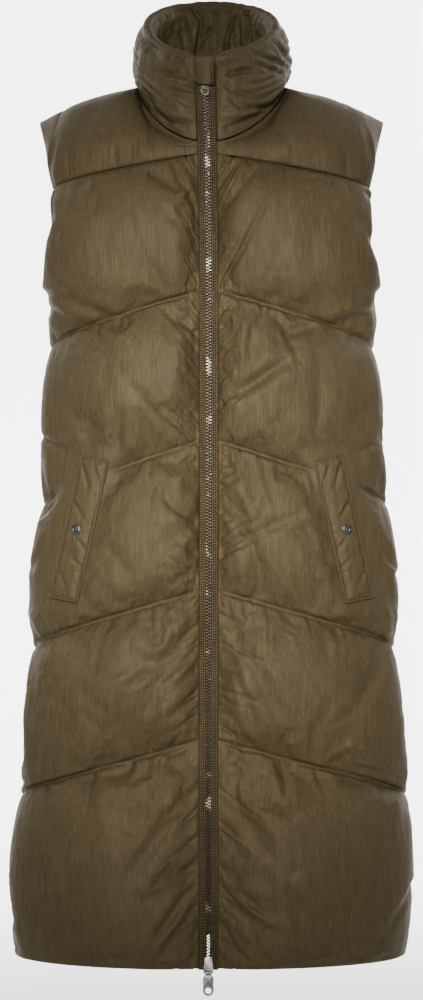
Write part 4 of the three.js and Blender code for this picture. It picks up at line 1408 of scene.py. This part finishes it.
def make_teeth():
    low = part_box("zip_chain")[0].z + 0.001
    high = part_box("zip_chain")[1].z - 0.001
    places = []
    for i in range(int((high - low) / TOOTH_PITCH * 2)):
        z = low + i * TOOTH_PITCH / 2
        mirror = Matrix.Scale(-1 if i % 2 else 1, 4, (1, 0, 0))
        lean = Matrix.Rotation(math.radians(4) * math.sin(1.7 * i), 4, "Z")
        places.append(Matrix.Translation((zip_x(z), -zip_depth(z) - 0.0001, z)) @ lean @ mirror)
    mesh = joined_copies(tooth_shape(), places)
    bmesh.ops.recalc_face_normals(mesh, faces=mesh.faces)
    piece = new_piece("zip_teeth", mesh, TOOTH_METAL, smooth_faces=False)
    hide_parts("zip_chain")
    return piece


# Sliders and pull tabs, with their sharp edges broken
FLAT_ANGLE, SHARP_ANGLE = math.radians(2), math.radians(40)


def break_edges(node, name, material, body):
    mesh = bmesh.new()
    mesh.from_mesh(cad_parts[node].data)
    bmesh.ops.remove_doubles(mesh, verts=mesh.verts, dist=SAME_PLACE)
    bmesh.ops.dissolve_limit(mesh, angle_limit=FLAT_ANGLE, verts=mesh.verts, edges=mesh.edges)
    solid = [edge for edge in mesh.edges if edge.is_manifold]
    sharp = [edge for edge in solid if edge.calc_face_angle(0) > SHARP_ANGLE]
    bevel(mesh, sharp, offset=0.00022, segments=2, clamp_overlap=True)
    piece = new_piece(name, mesh, material, body=body)
    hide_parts(node)
    return piece


# Pocket welts
def on_front(across, z):
    """A point of a front's outer cloth, found from how far across it is in the front view."""
    sign = -1 if across < 0 else 1
    low, high = 0.0, 1.0

    def outer(share):
        chamber, t = chamber_at(share, z)
        stand = puff("front", sign, share, z, t, chamber)
        return body_point("front", sign, share, z) + body_outward("front", sign, share, z) * stand

    for _ in range(16):
        share = (low + high) / 2
        if abs(outer(share).x) < abs(across):
            low = share
        else:
            high = share
    return outer(low), body_outward("front", sign, low, z)


WELT_COLUMNS, WELT_ROWS = 26, 92
WELT_BORDER, WELT_ROLL = 0.0030, 0.0016  # from a welt's edge to its stitching, and its height
WELT_HEIGHT = WELT.top - WELT.bottom
WELT_WIDTH = WELT.top_outer - WELT.top_inner
WELT_CREASES = creases(
    (30, 4, 15, 34, 3, 3),
    (16, 4, 5, 30, 2.8, 2.8),
    (30, 49, 13, 68, 3.2, 2.6),
    (14, 92, 2, 104, 2.8, 2.2),
    (15, 114, 3, 122, 2.8, 2.2),
    (28, 128, 16, 146, 3.2, 1.8),
)


def welt_spot(across, down):
    """A place of the right welt in the front view."""
    inner = mix(WELT.top_inner, WELT.bottom_inner, down)
    outer = mix(WELT.top_outer, WELT.bottom_outer, down)
    return mix(inner, outer, across), mix(WELT.top, WELT.bottom, down) + WELT.slope * (across - 0.5)


def welt_level(across, down):
    """How far a welt's top stands up: a narrow gathered border round a creased, padded middle."""
    x, y = across * WELT_WIDTH, down * WELT_HEIGHT
    from_side = min(x, WELT_WIDTH - x)
    from_edge = min(from_side, y, WELT_HEIGHT - y)
    round_border = y if from_side < 0.012 else x
    gather = abs(noise.noise(Vector((round_border / 0.0036, 4 * across, 410))))
    if from_edge < WELT_BORDER:
        roll = math.sin(math.pi * from_edge / WELT_BORDER) ** 0.7
        return WELT_EDGE + (WELT_ROLL - 0.0014 * gather) * roll
    inside = from_edge - WELT_BORDER
    drawn = 0.0030 * gather * math.exp(-inside / 0.006) + crease_depth(WELT_CREASES, x, y)
    padded = (WELT_MIDDLE - WELT_EDGE + 0.0010) * near_seam(inside, 0.008)
    return WELT_EDGE + max(0.0, padded - drawn * smooth(inside / 0.002))


def make_welt(side, sign):
    def at_height(height):
        def place(across, down):
            inward = 1 - across if sign < 0 else across
            x, z = welt_spot(inward, down)
            point, out = on_front(sign * x, z)
            return point + out * (WELT_CLEAR + height(inward, down))

        return place

    mesh = cloth_grid(WELT_COLUMNS, WELT_ROWS, at_height(welt_level), 0.034, WELT_HEIGHT)
    close_wall(mesh, WELT_COLUMNS, WELT_ROWS, at_height(lambda across, down: 0))
    name = "pocket_welt_" + side
    piece = new_piece("cloth_" + name, mesh, NYLON)
    add_smoothing(piece)
    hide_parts(name)
    return piece


def welt_stitch_lines(trees, sign):
    """A ring of stitching round the welt, inside its border."""
    a, b = WELT_BORDER / WELT_WIDTH, WELT_BORDER / WELT_HEIGHT

    def place(across, down):
        x, z = welt_spot(across, down)
        return sign * x, z

    return stitched_ring(trees, place, [(a, b), (1 - a, b), (1 - a, 1 - b), (a, 1 - b)])


# Snaps: a cap with rings round its face. Each step of its profile is a share of its radius and
# a share of its thickness, from the middle to the edge.
SNAP_MIDDLE = ((0, 0.90), (0.16, 0.92), (0.24, 0.78), (0.40, 0.78))
SNAP_RING = ((0.50, 0.96), (0.66, 0.98), (0.76, 0.74))
SNAP_RIM = ((0.84, 0.82), (0.93, 0.80), (1.0, 0.45), (0.95, 0.0))
SNAP_PROFILE = SNAP_MIDDLE + SNAP_RING + SNAP_RIM
SNAP_SIDES = 28


def make_snap(node, material):
    """A snap cap where the plain one is: its profile is spun round its middle."""
    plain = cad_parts[node].data
    points = [vert.co.copy() for vert in plain.vertices]
    middle = sum(points, Vector()) / len(points)
    out = snap_direction(plain)
    reach = [(point - middle).dot(out) for point in points]
    thick = max(reach) - min(reach)
    base = middle + out * min(reach)
    radius = max(((point - middle) - out * (point - middle).dot(out)).length for point in points)
    mesh = bmesh.new()
    profile = [(share * radius, 0, height * thick) for share, height in SNAP_PROFILE]
    verts = [mesh.verts.new(point) for point in profile]
    edges = [mesh.edges.new(pair) for pair in zip(verts, verts[1:])]
    full_turn = {"cent": (0, 0, 0), "axis": (0, 0, 1), "angle": 2 * math.pi, "steps": SNAP_SIDES}
    bmesh.ops.spin(mesh, geom=verts + edges, use_merge=True, **full_turn)
    bmesh.ops.remove_doubles(mesh, verts=mesh.verts, dist=SAME_PLACE)
    bmesh.ops.holes_fill(mesh, edges=[edge for edge in mesh.edges if edge.is_boundary], sides=0)
    bmesh.ops.recalc_face_normals(mesh, faces=mesh.faces)
    facing = Vector((0, 0, 1)).rotation_difference(out).to_matrix().to_4x4()
    bmesh.ops.transform(mesh, matrix=Matrix.Translation(base) @ facing, verts=mesh.verts)
    piece = new_piece("cap_" + node, mesh, material)
    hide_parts(node)
    return piece


def snap_direction(plain):
    """The way a snap faces: its flat back is its largest set of faces that look one way."""
    sums = {}
    for polygon in plain.polygons:
        key = tuple(round(value, 2) for value in polygon.normal)
        sums[key] = sums.get(key, 0) + polygon.area
    back = Vector(max(sums, key=sums.get))
    return -back.normalized()


# Chin guard: a folded flap over the top of the zip
GUARD_STITCHING = [(0.10, 0.12), (0.90, 0.12), (0.90, 0.86), (0.24, 0.86), (0.12, 0.55)]


def guard_spot(across, down):
    """A place of the guard: its top and right are straight, its lower left is a quarter round."""
    rounded = (GUARD.right - GUARD.tip - GUARD.left) * (1 - math.sqrt(1 - (0.98 * down) ** 2))
    return mix(GUARD.left + rounded, GUARD.right, across), mix(GUARD.top, GUARD.bottom, down)


def make_guard(trees):
    columns, rows = 26, 22

    def at_front(stand):
        def place(across, down):
            x, z = guard_spot(across, down)
            rise = smooth((x - GUARD.left) / GUARD.rise)
            over_zip = rise * smooth((GUARD.right + 0.001 - x) / 0.007)
            hits = [front_hit(trees, x, z - below) for below in (0, 0.004, 0.009)]
            carried = min(hit[0].y if hit else 0 for hit in hits) - LAY_GAP
            y = min(carried, -zip_depth(z) - GUARD.over_zip * over_zip)
            return Vector((x, y - stand(across, down), z))

        return place

    def hemmed(across, down):
        from_edge = min(across * 0.034, down * 0.032, (1 - down) * 0.032)
        return GUARD.thick + 0.0006 * math.exp(-((from_edge - 0.0015) / 0.0012) ** 2)

    mesh = cloth_grid(columns, rows, at_front(hemmed), 0.035, 0.032)
    close_wall(mesh, columns, rows, at_front(lambda across, down: 0))
    piece = new_piece("cloth_chin_guard", mesh, NYLON)
    add_smoothing(piece)
    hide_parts("chin_guard")
    return piece


def make_all():
    fronts = [make_panel("front_left"), make_panel("front_right")]
    make_panel("back")
    yokes = [make_yoke("front_yoke_left"), make_yoke("front_yoke_right")]
    make_yoke("back_yoke")
    collar = make_collar()
    welts = [make_welt(side, sign) for side, sign in SIDES]
    for side, sign in SIDES:
        make_tape("zip_tape_" + side, sign)
        make_snap("pocket_snap_" + side, SNAP_METAL)
        for height in ("upper", "lower"):
            make_snap("vent_snap_" + side + "_" + height, GUNMETAL)
    make_teeth()
    guard = make_guard(surface_tree(collar))
    guard_ring = stitched_ring(surface_tree(guard), guard_spot, GUARD_STITCHING)
    break_edges("bottom_slider", "slider_bottom", BRIGHT_METAL, VEST)
    break_edges("top_slider", "slider_top", GUNMETAL, VEST)
    break_edges("bottom_pull_tab", "tab_bottom", BRIGHT_METAL, "bottom_pull")
    break_edges("top_pull_tab", "tab_top", GUNMETAL, "top_pull")
    trees = surface_tree(*welts)
    welt_lines = [line for _, sign in SIDES for line in welt_stitch_lines(trees, sign)]
    make_stitches("welt_stitching", welt_lines, WELT_STITCH, THREAD_AND_SEAM_SHADE)
    make_stitches("quilting_stitches", quilting_lines(), QUILTING_STITCH, THREAD_AND_SEAM_SHADE)
    tape_lines = [tape_line(sign * across) for _, sign in SIDES for across in TAPE_SEAMS]
    make_stitches("zip_stitching", tape_lines + guard_ring, TAPE_STITCH, TAPE_THREAD)


make_all()
